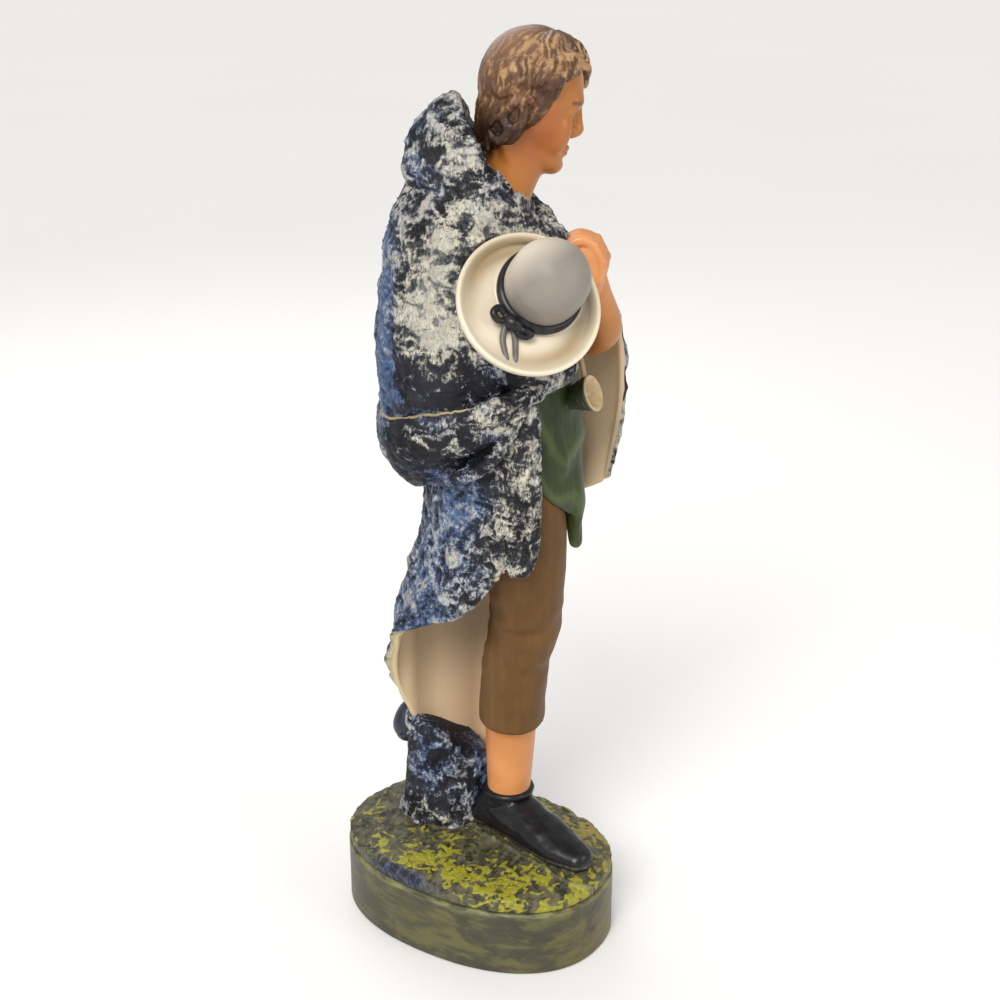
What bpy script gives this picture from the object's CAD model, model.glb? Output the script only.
"""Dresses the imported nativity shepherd: the paint and the fine carving of the cast plaster figure,
its slab of rough ground and its oval plinth. Metres, +Z up.

The figure is carved in the frame of its solids: x forward, the way the face looks, y to the
figure's left and z up from the ground, in carving units. PLACE takes that frame to the row's.
"""

import math

import bmesh
import bpy
import numpy as np
from mathutils import Matrix, Vector, bvhtree, noise


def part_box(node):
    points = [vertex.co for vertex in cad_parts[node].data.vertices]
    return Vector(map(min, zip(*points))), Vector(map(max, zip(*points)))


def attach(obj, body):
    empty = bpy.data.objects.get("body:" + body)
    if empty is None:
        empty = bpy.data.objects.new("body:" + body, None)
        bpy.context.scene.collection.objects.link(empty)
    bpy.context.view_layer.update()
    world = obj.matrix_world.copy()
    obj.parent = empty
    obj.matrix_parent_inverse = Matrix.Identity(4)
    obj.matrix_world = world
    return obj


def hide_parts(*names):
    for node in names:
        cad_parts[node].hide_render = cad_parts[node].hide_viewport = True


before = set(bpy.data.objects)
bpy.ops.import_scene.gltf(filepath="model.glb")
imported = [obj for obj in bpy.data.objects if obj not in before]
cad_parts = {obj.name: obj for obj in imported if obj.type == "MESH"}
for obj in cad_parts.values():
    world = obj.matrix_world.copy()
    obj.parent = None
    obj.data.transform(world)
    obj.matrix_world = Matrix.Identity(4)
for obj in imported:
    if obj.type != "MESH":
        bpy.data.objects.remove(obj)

# The bends in the noise start from the clock unless they are given a seed
NOISE_SEED = 7
noise.seed_set(NOISE_SEED)

bl_info = {
    "name": "Painted nativity shepherd",
    "version": (1, 0, 0),
    "blender": (4, 5, 0),
    "location": "3D View > Sidebar > Shepherd",
    "description": "Builds the painted surfaces of a cast plaster shepherd round its solids",
    "category": "Object",
}

FIGURE, PLINTH = "shepherd_figure", "oval_plinth"
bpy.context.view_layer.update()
FIGURE_LOW, FIGURE_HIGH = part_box(FIGURE)
PLINTH_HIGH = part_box(PLINTH)[1]

# How the figure stands on its base, as in its solids
GROUND_THICKNESS = 0.011
GROUND_INSET = 0.0009
OVAL_SQUARENESS = 2.25
CARVED_HEIGHT = 449.03
GROUND_HEIGHT = PLINTH_HIGH.z + GROUND_THICKNESS
UNIT = (FIGURE_HIGH.z - GROUND_HEIGHT) / CARVED_HEIGHT
TURN = Matrix.Rotation(math.radians(-148.0), 4, "Z")
FIGURE_PLACE = Matrix.Translation((0.0012, -0.0030, 0))
PLACE = TURN @ FIGURE_PLACE @ Matrix.Translation((0, 0, GROUND_HEIGHT)) @ Matrix.Scale(UNIT, 4)

# The photograph's camera, in metres in the figure's turned frame, and its picture in pixels
CAMERA_PLACE = (0.011, -0.80, 0.575)
CAMERA_TILT = 21.7
FOCAL_PIXELS = 1626.0
PICTURE_PIXELS = 1000.0
SENSOR_WIDTH = 36.0

FORWARD = (1, 0, 0)

# Voxels of the remeshed forms, in carving units
FLEECE_VOXEL = 1.0
SWAG_VOXEL = 0.95
CLOTH_VOXEL = 1.25
SHOE_VOXEL = 0.85
SKULL_VOXEL = 0.9
SKIN_VOXEL = 0.7
HAIR_VOXEL = 0.66

# The paint on the fleece: a place, how far it spreads, and what it adds to the ivory and the blue
PAINTED_PLACES = (
    ((-23, -50, 325), (17, 24, 34), 0.44, -0.42),
    ((-12, -28, 392), (26, 20, 22), 0.22, 0.10),
    ((10, -30, 362), (24, 20, 14), 0.18, -0.20),
    ((-47, -14, 320), (11, 24, 50), -0.08, 0.62),
    ((-22, -52, 286), (34, 34, 15), -0.56, -0.16),
    ((-44, -30, 276), (22, 20, 9), -0.22, 0.34),
    ((-27, -12, 384), (9, 16, 9), -0.10, 0.35),
    ((-26, -40, 250), (36, 34, 20), -0.36, -0.14),
    ((0, -56, 271), (15, 10, 4), 0.30, -0.10),
    ((-24, -46, 258), (9, 12, 9), 0.22, 0.0),
    ((18, -50, 279), (6, 12, 4), -0.60, -0.30),
    ((2, -48, 262), (9, 14, 5), -0.60, -0.30),
    ((-15, -44, 244), (9, 16, 6), -0.60, -0.30),
    ((-14, -30, 186), (40, 30, 10), -0.10, 0.10),
    ((16, -56, 276), (12, 12, 9), 0.24, -0.30),
    ((22, -48, 225), (14, 20, 52), 0.06, -0.36),
    ((-14, -42, 212), (18, 22, 34), -0.10, 0.46),
    ((-30, -25, 160), (28, 26, 24), -0.06, 0.44),
    ((-17, 28, 30), (40, 30, 44), -0.24, -0.12),
    ((-14, 6, 6), (14, 12, 5), 0.26, 0.0),
    ((2, 20, 20), (9, 12, 20), -0.14, 0.40),
)

# Where the turf is painted on the ground: a place, how far it spreads, and how much of it
TURF_PLACES = (
    ((-34, -24), (17, 12), 0.50),
    ((-14, -40), (12, 10), 0.42),
    ((17, -47), (18, 10), 0.48),
    ((40, -62), (16, 8), 0.40),
    ((60, -52), (10, 12), 0.35),
    ((58, 4), (18, 34), 0.44),
    ((-58, 20), (16, 20), -0.10),
)


def colour(name, description, default):
    return bpy.props.FloatVectorProperty(
        name=name, description=description, subtype="COLOR", size=3, min=0, max=1, default=default
    )


def units(name, description, default):
    return bpy.props.FloatProperty(name=name, description=description, default=default, min=0)


class ShepherdSizes(bpy.types.PropertyGroup):
    hat_brim: units("Hat brim", "Width across the brim, in carving units", 70.8)
    hat_crown: units("Hat crown", "Width across the crown, in carving units", 38.3)
    hat_crown_height: units("Crown height", "Height of the crown above the brim, in carving units", 36.0)
    brim_thickness: units("Brim thickness", "Thickness of the brim, in carving units", 3.8)
    brim_curl: units("Brim curl", "Rise of the brim's curled rim, in carving units", 6.0)
    cloth_thickness: units("Cloth thickness", "Thickness of the hanging fleece, in carving units", 5.0)
    fleece_depth: units("Fleece depth", "Depth of the curls of the fleece, in carving units", 1.15)
    horn_mouth: units("Horn mouth", "Width of the horn's mouth, in carving units", 19.0)


class ShepherdPaints(bpy.types.PropertyGroup):
    fleece_dark: colour("Fleece ground", "The near-black under the brushed fleece", (0.009, 0.009, 0.012))
    fleece_blue: colour("Fleece blue", "The blue brushed into the fleece", (0.085, 0.145, 0.30))
    fleece_ivory: colour("Fleece ivory", "The ivory brushed over the fleece", (0.64, 0.595, 0.46))
    fleece_grey: colour("Fleece grey", "The cool grey that the ivory thins to", (0.40, 0.43, 0.47))
    lining: colour("Lining", "The cream inside of the cloak", (0.70, 0.53, 0.345))
    hem: colour("Hem", "The thin cream line along the hem", (0.62, 0.50, 0.27))
    skin: colour("Skin", "Face, neck and arms", (0.47, 0.170, 0.032))
    skin_light: colour("Light skin", "Hands and shins, where the paint is paler", (0.72, 0.31, 0.115))
    lips: colour("Lips", "The lips", (0.42, 0.10, 0.05))
    hair: colour("Hair", "The brown of the hair", (0.155, 0.070, 0.034))
    hair_light: colour("Light hair", "The tan brushed over the curls", (0.46, 0.285, 0.135))
    tunic: colour("Tunic", "The green of the tunic", (0.030, 0.047, 0.010))
    breeches: colour("Breeches", "The olive brown of the breeches", (0.120, 0.056, 0.014))
    shoes: colour("Shoes", "The black of the shoes", (0.008, 0.008, 0.010))
    hat: colour("Hat brim", "The pearly ivory of the hat's brim", (0.80, 0.705, 0.55))
    hat_shade: colour("Hat shade", "The tan shaded into the brim", (0.40, 0.30, 0.17))
    crown: colour("Hat crown", "The silvery grey of the hat's crown", (0.27, 0.245, 0.21))
    band: colour("Hat band", "The black band and bow", (0.008, 0.008, 0.010))
    horn: colour("Horn", "The cream of the horn's mouth", (0.62, 0.46, 0.24))
    earth: colour("Earth", "The dark paint of the ground", (0.030, 0.029, 0.022))
    turf: colour("Turf", "The yellow green brushed over the ground", (0.40, 0.38, 0.025))
    plinth: colour("Plinth", "The olive of the plinth", (0.064, 0.062, 0.036))


class ShepherdStage(bpy.types.PropertyGroup):
    floor_radius: bpy.props.FloatProperty(
        name="Floor radius", description="Reach of the pale floor", unit="LENGTH", default=14.0, min=1
    )
    sky: bpy.props.FloatProperty(name="Sky", description="Strength of the white surroundings", default=0.50)
    key: bpy.props.FloatProperty(name="Key light", description="Strength of the soft key light", default=2.3)
    fill: bpy.props.FloatProperty(
        name="Soft boxes", description="Power of the soft boxes that show the gloss", unit="POWER", default=1.6
    )


def through(rows, count):
    """Rows of numbers read along a smooth curve that passes through the given rows."""
    rows = np.asarray(rows, float)
    place = np.linspace(0, len(rows) - 1, count)
    i = np.clip(place.astype(int), 0, len(rows) - 2)
    f = (place - i)[:, None]
    before, here = rows[np.maximum(i - 1, 0)], rows[i]
    there, after = rows[i + 1], rows[np.minimum(i + 2, len(rows) - 1)]
    return 0.5 * (
        2 * here
        + (there - before) * f
        + (2 * before - 5 * here + 4 * there - after) * f**2
        + (3 * here - before - 3 * there + after) * f**3
    )


def tuft(point):
    """How far a clump of the fleece stands up at a place, the clumps running down the cloth."""
    flow = Vector((point[0] / 8, point[1] / 8, point[2] / 13))
    return 2.2 * (noise.noise(flow) + 0.4 * noise.noise(flow * 2.3))


class Forms:
    """The closed shapes that a piece is built up from, in carving units."""

    def __init__(self):
        self.mesh = bmesh.new()

    def skin(self, rings, closed_loop=False):
        """Skins rings of points into a closed shape, with a point at each end unless it is a loop."""
        made = [[self.mesh.verts.new(p) for p in ring] for ring in rings]
        pairs = list(zip(made, made[1:]))
        if closed_loop:
            pairs.append((made[-1], made[0]))
        for low, high in pairs:
            for j in range(len(low)):
                k = (j + 1) % len(low)
                self.mesh.faces.new((low[j], low[k], high[k], high[j]))
        if closed_loop:
            return
        for ring, ahead in ((made[0], False), (made[-1], True)):
            centre = sum((v.co for v in ring), Vector()) / len(ring)
            pole = self.mesh.verts.new(centre)
            for j in range(len(ring)):
                k = (j + 1) % len(ring)
                ends = (ring[j], ring[k]) if ahead else (ring[k], ring[j])
                self.mesh.faces.new((*ends, pole))

    def tube(
        self,
        rows,
        side=(0, 0, 1),
        around=20,
        along=26,
        loop=False,
        rounding=1.0,
        lean=0.0,
        fleece=False,
        strands=(0, 0.0, 0.0),
        relief=None,
    ):
        """A limb along rows of x, y, z, half size along side, and half size across it.

        lean tips side outwards, fleece gives it clumps, strands are a number, a depth and a twist,
        and relief is a height for each place and direction on it.
        """
        if loop:
            rows = list(rows) + [rows[0]]
        line = through(rows, along + 1 if loop else along)
        if loop:
            line = line[:-1]
            tangents = np.roll(line[:, :3], -1, 0) - np.roll(line[:, :3], 1, 0)
        else:
            tangents = np.gradient(line[:, :3], axis=0)
        rings = []
        for (x, y, z, a, b), t in zip(line, tangents):
            t = Vector(t).normalized()
            up = Vector(side) + lean * Vector((x, y, 0)).normalized()
            n = (up - up.dot(t) * t).normalized()
            rings.append((Vector((x, y, z)), t, n, t.cross(n), a, b))
        if not loop:
            rings = self.rounded(rings, rounding)
        turn = [2 * math.pi * j / around for j in range(around)]
        count, depth, twist = strands
        skin = []
        for i, (c, t, n, m, a, b) in enumerate(rings):
            ring = []
            for w in turn:
                swell = 1 + depth * math.cos(count * w + twist * i / len(rings))
                out = n * (a * swell * math.cos(w)) + m * (b * swell * math.sin(w))
                lift = tuft(c + out) if fleece else 0.0
                if relief is not None:
                    lift += relief(c + out)
                ring.append(c + out + out.normalized() * lift)
            skin.append(ring)
        self.skin(skin, loop)

    @staticmethod
    def rounded(rings, rounding):
        """Adds shrinking rings at each end, which round it off, or hollow it if negative."""
        ends = []
        for (c, t, n, m, a, b), way in ((rings[0], -1), (rings[-1], 1)):
            reach = min(a, b) * rounding
            ends.append(
                [
                    (c + t * (way * reach * math.sin(w)), t, n, m, a * math.cos(w), b * math.cos(w))
                    for w in (0.3, 0.6, 0.9, 1.15, 1.4)
                ]
            )
        return ends[0][::-1] + rings + ends[1]

    def stack(self, rows, around=36, along=30, fleece=False):
        """A body of level rings. Rows are x, y, z, half length, half width, and slope of z along x."""
        turn = [2 * math.pi * j / around for j in range(around)]
        skin = []
        for x, y, z, a, b, slope in through(rows, along):
            ring = []
            for w in turn:
                out = Vector((a * math.cos(w), b * math.sin(w), slope * a * math.cos(w)))
                centre = Vector((x, y, z))
                lift = out.normalized() * tuft(centre + out) if fleece else Vector()
                ring.append(centre + out + lift)
            skin.append(ring)
        self.skin(skin)

    def ball(self, centre, radii, turn=Matrix.Identity(3)):
        made = bmesh.ops.create_uvsphere(self.mesh, u_segments=48, v_segments=28, radius=1)
        place = Matrix.Translation(centre) @ turn.to_4x4() @ Matrix.Diagonal((*radii, 1))
        bmesh.ops.transform(self.mesh, matrix=place, verts=made["verts"])

    def object(self, name):
        bmesh.ops.recalc_face_normals(self.mesh, faces=self.mesh.faces)
        data = bpy.data.meshes.new(name)
        self.mesh.to_mesh(data)
        self.mesh.free()
        return linked(name, data)


def face_outwards(data):
    shape = bmesh.new()
    shape.from_mesh(data)
    bmesh.ops.recalc_face_normals(shape, faces=shape.faces)
    shape.to_mesh(data)
    shape.free()


def linked(name, data):
    made = bpy.data.objects.new(name, data)
    bpy.context.scene.collection.objects.link(made)
    return made


def evaluated_mesh(piece):
    """The piece's mesh with its modifiers worked out."""
    graph = bpy.context.evaluated_depsgraph_get()
    return bpy.data.meshes.new_from_object(piece.evaluated_get(graph))


def cast_in_one(forms, name, voxel, smoothing=2):
    """Melts the forms into one closed skin of even facets, without what is sealed inside it."""
    rough = forms.object(name + "_forms")
    remesh = rough.modifiers.new("one_skin", "REMESH")
    remesh.mode = "VOXEL"
    remesh.voxel_size = voxel
    smooth = rough.modifiers.new("soften", "SMOOTH")
    smooth.iterations = smoothing
    data = evaluated_mesh(rough)
    bpy.data.objects.remove(rough)
    shape = bmesh.new()
    shape.from_mesh(data)
    left = set(shape.verts)
    largest = set()
    while left:
        seed = left.pop()
        group, edge = {seed}, [seed]
        while edge:
            here = edge.pop()
            for link in here.link_edges:
                there = link.other_vert(here)
                if there not in group:
                    group.add(there)
                    edge.append(there)
        left -= group
        if len(group) > len(largest):
            largest = group
    bmesh.ops.delete(shape, geom=[v for v in shape.verts if v not in largest], context="VERTS")
    shape.to_mesh(data)
    shape.free()
    data.name = name
    return linked(name, data)


def points_of(piece):
    points = np.empty(len(piece.data.vertices) * 3)
    piece.data.vertices.foreach_get("co", points)
    return points.reshape(-1, 3)


def move_to(piece, points):
    piece.data.vertices.foreach_set("co", np.asarray(points, float).ravel())
    piece.data.update()


def raise_by(piece, lift):
    """Moves each vertex out along its normal."""
    normals = np.empty(len(piece.data.vertices) * 3)
    piece.data.vertices.foreach_get("normal", normals)
    move_to(piece, points_of(piece) + normals.reshape(-1, 3) * lift[:, None])


def note(piece, **notes):
    """Keeps numbers for the vertices, one for each or one for all, which the paint reads."""
    for name, values in notes.items():
        kept = piece.data.attributes.new(name, "FLOAT", "POINT")
        values = np.broadcast_to(np.asarray(values, np.float32), len(kept.data))
        kept.data.foreach_set("value", np.ascontiguousarray(values))


def ranked(relief):
    """The relief's order, spread evenly from 0 to 1."""
    return relief.argsort().argsort() / len(relief)


def noise_at(points, size, shift=(0, 0, 0)):
    """Noise at each point, whose lumps are about size across."""
    return np.array([noise.noise(Vector(p) / size + Vector(shift)) for p in points])


def seen_from(piece, place):
    """The piece's points in the axes of a place, which is a centre and its turn."""
    centre, turn = place
    return (points_of(piece) - np.array(centre)) @ np.array(turn)


def back_from(local, place):
    centre, turn = place
    return local @ np.array(turn).T + np.array(centre)


def in_axes(place, rows):
    """Rows that start with a point in the axes of a place, moved to the carving frame."""
    centre, turn = place
    return [(*(centre + turn @ Vector(row[:3])), *row[3:]) for row in rows]


def near(points, centre, radii):
    """How near each point is to a place: 1 there, falling off to 0 over the radii."""
    return np.exp(-(((points - np.asarray(centre)) / np.asarray(radii)) ** 2).sum(axis=1))


def press(points, centre, radii, move):
    """Moves the points round a place, as a thumb presses clay."""
    return points + near(points, centre, radii)[:, None] * np.asarray(move, float)


def curls(point, flow):
    """The curls of the fleece, from about -1 to 1: bent noise, drawn out along its flow."""
    p = Vector((point[0] / flow[0], point[1] / flow[1], point[2] / flow[2]))
    bend = noise.noise_vector(p * 0.7) * 0.9
    curl = noise.noise(p * 0.75 + bend)
    ridge = 1 - 3.0 * abs(noise.noise(p * 1.25 + bend * 1.3 + Vector((7, 3, 1))))
    fine = noise.noise(p * 3.4 + bend * 2)
    return 0.74 * curl + 0.34 * ridge + 0.30 * fine


def dress_in_fleece(piece, flow, where=1.0, depth=1.0):
    """Raises the curls of the fleece, and notes how the paint is brushed over them."""
    points = points_of(piece)
    relief = np.array([curls(p, flow) for p in points])
    broad = noise_at(points, 30)
    patches = noise_at(points, 15, (40, 0, 0))
    ivory = 0.30 + 0.16 * broad + 0.26 * patches
    blue = 0.34 - 0.26 * broad + 0.30 * patches
    for centre, radii, more_ivory, more_blue in PAINTED_PLACES:
        close = near(points, centre, radii)
        ivory += more_ivory * close
        blue += more_blue * close
    raise_by(piece, relief * where * (bpy.context.scene.shepherd_sizes.fleece_depth * depth))
    note(piece, relief=ranked(relief), ivory=np.clip(ivory, 0, 1), blue=np.clip(blue, 0, 1))
    return piece


def facing(grid):
    """The unit normals of a grid of points, on the side away from the figure's axis."""
    normal = np.cross(np.gradient(grid, axis=0), np.gradient(grid, axis=1))
    normal /= np.linalg.norm(normal, axis=2, keepdims=True)
    outward = (normal[..., :2] * grid[..., :2]).sum()
    return normal if outward > 0 else -normal


def cloth_sheet(name, columns, across, down, folds=0, fold_depth=0.0, notches=(), creases=()):
    """A thick cloth with a rounded edge. Each column runs from its top to its hem.

    Notches are a place across, a width and a share of the drop. Creases are a place across, a
    width, a depth, and how far up they reach. It notes the lining and the nearness of the hem.
    """
    thickness = bpy.context.scene.shepherd_sizes.cloth_thickness
    columns = [through(c, down) for c in columns]
    grid = through(np.array(columns).reshape(len(columns), -1), across).reshape(across, down, 3)
    u, v = np.linspace(0, 1, across), np.linspace(0, 1, down)
    cut = sum((share * np.exp(-(((u - at) / width) ** 2)) for at, width, share in notches), 0 * u)
    for i in range(across):
        for k in range(3):
            grid[i, :, k] = np.interp(v * (1 - cut[i]), v, grid[i, :, k])
    wave = fold_depth * np.sin(2 * np.pi * folds * u)[:, None] * v[None, :]
    for at, width, depth, reach in creases:
        fade = np.clip(1 - (1 - v) / reach, 0, 1) ** 0.7
        wave = wave - depth * np.exp(-(((u - at) / width) ** 2))[:, None] * fade[None, :]
    grid = grid + facing(grid) * wave[..., None]
    normal = facing(grid)
    outer_raw = grid + normal * thickness / 2
    lift = np.array([[tuft(p) for p in row] for row in outer_raw])[..., None]
    i_near = np.minimum(np.arange(across), np.arange(across)[::-1])[:, None]
    j_near = np.minimum(np.arange(down), np.arange(down)[::-1])[None, :]
    round_off = np.clip(np.minimum(i_near, j_near) / 4.0, 0, 1)
    round_off = np.sqrt(1 - (1 - round_off) ** 2)[..., None]
    half = normal * (thickness / 2) * (0.06 + 0.94 * round_off)
    outer = grid + half + normal * lift * (0.35 + 0.65 * round_off)
    inner = grid - half + normal * lift * 0.35 * (1 - round_off)
    count = across * down
    number = np.arange(count).reshape(across, down)
    a, b, c, d = number[:-1, :-1], number[1:, :-1], number[1:, 1:], number[:-1, 1:]
    outside = np.stack([a, b, c, d], axis=-1).reshape(-1, 4)
    faces = np.concatenate([outside, outside[:, ::-1] + count]).tolist()
    sides = (number[:, 0], number[-1, 1:], number[-2::-1, -1], number[0, -2:0:-1])
    rim = np.concatenate(sides).tolist()
    for here, there in zip(rim, rim[1:] + rim[:1]):
        faces.append((here + count, there + count, there, here))
    data = bpy.data.meshes.new(name)
    data.from_pydata(np.concatenate([outer.reshape(-1, 3), inner.reshape(-1, 3)]).tolist(), [], faces)
    face_outwards(data)
    piece = linked(name, data)
    hem = np.tile(np.exp(-(((down - 1 - np.arange(down)) / 1.6) ** 2)), across)
    note(piece, hem=np.concatenate([hem * 0.9, hem]), lining=np.repeat((0, 1), count))
    return piece, np.concatenate([round_off.ravel(), np.zeros(count)])


# The shader maths

class Value:
    """A number or colour in a shader tree. Arithmetic on it adds Math nodes."""

    def __init__(self, tree, socket):
        self.tree = tree
        self.socket = socket

    def math(self, operation, *others, clamp=False):
        settings = {"operation": operation, "use_clamp": clamp}
        return self.tree.node("ShaderNodeMath", settings, dict(enumerate((self, *others)))).out(0)

    def __add__(self, other):
        return self.math("ADD", other)

    def __sub__(self, other):
        return self.math("SUBTRACT", other)

    def __mul__(self, other):
        return self.math("MULTIPLY", other)

    def __rsub__(self, other):
        return self.tree.number(other, "SUBTRACT", self)

    __radd__ = __add__
    __rmul__ = __mul__

    def clamped(self):
        return self.math("ADD", 0.0, clamp=True)

    def step(self, edge, softness):
        """0 below the edge and 1 above it, over the given softness."""
        return ((self - edge) * (1 / softness) + 0.5).clamped()


class Made:
    """A node that the tree has made."""

    def __init__(self, tree, node):
        self.tree = tree
        self.made = node

    def out(self, which):
        return Value(self.tree, self.made.outputs[which])


class Paint:
    """A painted and varnished finish: a material whose nodes are made by its methods."""

    def __init__(self, name):
        self.material = bpy.data.materials.new(name)
        self.material.use_nodes = True
        self.nodes = self.material.node_tree.nodes
        self.links = self.material.node_tree.links
        self.shader = self.nodes["Principled BSDF"]
        self.place = self.node("ShaderNodeTexCoord").out("Object")

    def node(self, kind, settings=None, sockets=None):
        made = self.nodes.new(kind)
        for key, value in (settings or {}).items():
            if key == "stops":
                self.set_stops(made.color_ramp, value)
            else:
                setattr(made, key, value)
        for key, value in (sockets or {}).items():
            self.feed(made.inputs[key], value)
        return Made(self, made)

    @staticmethod
    def set_stops(ramp, stops):
        while len(ramp.elements) > 1:
            ramp.elements.remove(ramp.elements[-1])
        ramp.elements[0].position = stops[0][0]
        ramp.elements[0].color = stops[0][1]
        for position, shade in stops[1:]:
            ramp.elements.new(position).color = shade

    def feed(self, socket, value):
        if isinstance(value, Value):
            self.links.new(value.socket, socket)
        elif hasattr(value, "__len__") and len(value) == 3 and len(socket.default_value) == 4:
            socket.default_value = (*value, 1.0)
        else:
            socket.default_value = value

    def number(self, value, operation, other):
        return self.node("ShaderNodeMath", {"operation": operation}, {0: value, 1: other}).out(0)

    def noted(self, name):
        return self.node("ShaderNodeAttribute", {"attribute_name": name}).out("Fac")

    def grain(self, size, detail=2.0, stretch=(1, 1, 1), rough=0.5, bend=0.0):
        """Noise from 0 to 1 whose patches are about size across, in metres."""
        place = self.place
        if tuple(stretch) != (1, 1, 1):
            squeeze = [1 / s for s in stretch]
            place = self.node("ShaderNodeMapping", sockets={"Vector": place, "Scale": squeeze}).out(0)
        sockets = {"Vector": place, "Scale": 0.5 / size, "Detail": detail, "Roughness": rough}
        sockets["Distortion"] = bend
        return self.node("ShaderNodeTexNoise", sockets=sockets).out("Fac")

    def mix(self, share, first, second):
        sockets = {0: share, 6: first, 7: second}
        return self.node("ShaderNodeMix", {"data_type": "RGBA"}, sockets).out(2)

    def finish(self, tint, rough, height=None, lift=0.0002, coat=0.25, sheen_rough=0.22, gloss=0.5):
        """Sets the varnished paint, with the height as a fine relief that stands up by lift."""
        for name, value in (("Base Color", tint), ("Roughness", rough), ("Specular IOR Level", gloss)):
            self.feed(self.shader.inputs[name], value)
        self.shader.inputs["Coat Weight"].default_value = coat
        self.shader.inputs["Coat Roughness"].default_value = sheen_rough
        if height is not None:
            bump = self.node("ShaderNodeBump", sockets={"Height": height, "Distance": lift, "Strength": 1.0})
            self.feed(self.shader.inputs["Normal"], bump.out(0))
        return self.material


def scaled(shade, by):
    return tuple(min(1.0, c * by) for c in shade)


def fleece_paint():
    """Near-black fleece with blue and ivory dragged over its curls, a cream hem and a cream lining."""
    paints, paint = bpy.context.scene.shepherd_paints, Paint("brushed_fleece")
    relief, ivory, blue = paint.noted("relief"), paint.noted("ivory"), paint.noted("blue")
    lining, hem = paint.noted("lining"), paint.noted("hem")
    bristle = paint.grain(0.0007, detail=4, stretch=(1, 1, 1.9), rough=0.7, bend=0.8)
    drag = paint.grain(0.0024, detail=3, stretch=(1, 1, 0.6), rough=0.6, bend=1.2)
    broad = paint.grain(0.014, detail=2)
    cloud = paint.grain(0.0065, detail=3, rough=0.6, bend=0.8)
    brush = relief * 0.64 + bristle * 1.40 + drag * 0.9 + cloud * 0.35 - 1.14
    hollow = relief.step(0.20, 0.30)
    dark = paint.mix(broad.step(0.55, 0.25), paints.fleece_dark, scaled(paints.fleece_dark, 2.4))
    blue_mask = brush.step(1.02 - blue, 0.45)
    deep = paint.mix(drag.step(0.5, 0.3), scaled(paints.fleece_blue, 0.40), paints.fleece_blue)
    over = paint.mix(blue_mask, dark, deep)
    scumble = brush.step(0.92 - ivory * 1.2, 0.55) * (0.35 + ivory * 0.45)
    over = paint.mix(scumble, over, scaled(paints.fleece_grey, 0.40))
    ivory_mask = brush.step(1.0 - ivory, 0.40) * (0.20 + hollow * 0.80)
    cool = paint.mix(blue.step(0.50, 0.5), paints.fleece_ivory, paints.fleece_grey)
    tan = paint.mix(cloud.step(0.54, 0.16), cool, scaled(paints.fleece_ivory, 0.74))
    pale = paint.mix(bristle.step(0.46, 0.25), scaled(paints.fleece_grey, 0.62), tan)
    over = paint.mix(ivory_mask * 0.95, over, pale)
    over = paint.mix(hem * 0.85, over, paints.hem)
    fold = paint.grain(0.011, detail=2, stretch=(1, 1, 6))
    soft = paint.mix(fold.step(0.5, 0.6), scaled(paints.lining, 0.80), scaled(paints.lining, 1.06))
    edge = paint.mix(hem, soft, paints.hem)
    tint = paint.mix(lining, over, edge)
    rough = 0.42 + ivory_mask * 0.16 + bristle * 0.10
    height = (bristle * 0.7 + drag * 0.3) * (1 - lining * 0.85)
    return paint.finish(tint, rough, height, lift=0.0005, coat=0.0, gloss=0.16)


def skin_paint():
    """Orange-tan skin, warmer on the cheeks, with painted brows and lips."""
    paints, paint = bpy.context.scene.shepherd_paints, Paint("painted_skin")
    broad = paint.grain(0.012, detail=2)
    speck = paint.grain(0.0012, detail=3)
    streak = paint.grain(0.0022, detail=2, stretch=(1, 1, 3))
    base = paint.mix(paint.noted("pale"), paints.skin, paints.skin_light)
    base = paint.mix(broad.step(0.5, 0.5) * 0.45, base, scaled(paints.skin, 0.80))
    base = paint.mix(paint.noted("blush") * 0.70, base, (0.33, 0.085, 0.024))
    base = paint.mix(paint.noted("lips") * (0.75 + speck * 0.25), base, paints.lips)
    base = paint.mix(paint.noted("brow") * (0.55 + streak * 0.6).clamped(), base, scaled(paints.hair, 0.7))
    rough = 0.34 + speck * 0.14
    return paint.finish(base, rough, streak * 0.5 + speck * 0.5, lift=0.00015, coat=0.14, gloss=0.4)


def eye_paint():
    """Painted eyes: a dark iris with a darker ring on a warm white."""
    paint = Paint("painted_eyes")
    ring = paint.noted("iris")
    speck = paint.grain(0.0006, detail=2)
    white = paint.mix(speck, (0.36, 0.25, 0.16), (0.46, 0.34, 0.22))
    iris = paint.mix(ring.step(0.955, 0.03), (0.070, 0.030, 0.012), (0.004, 0.003, 0.003))
    tint = paint.mix(ring.step(0.88, 0.03), white, iris)
    return paint.finish(tint, 0.25, coat=0.1, sheen_rough=0.10, gloss=0.2)


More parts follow.
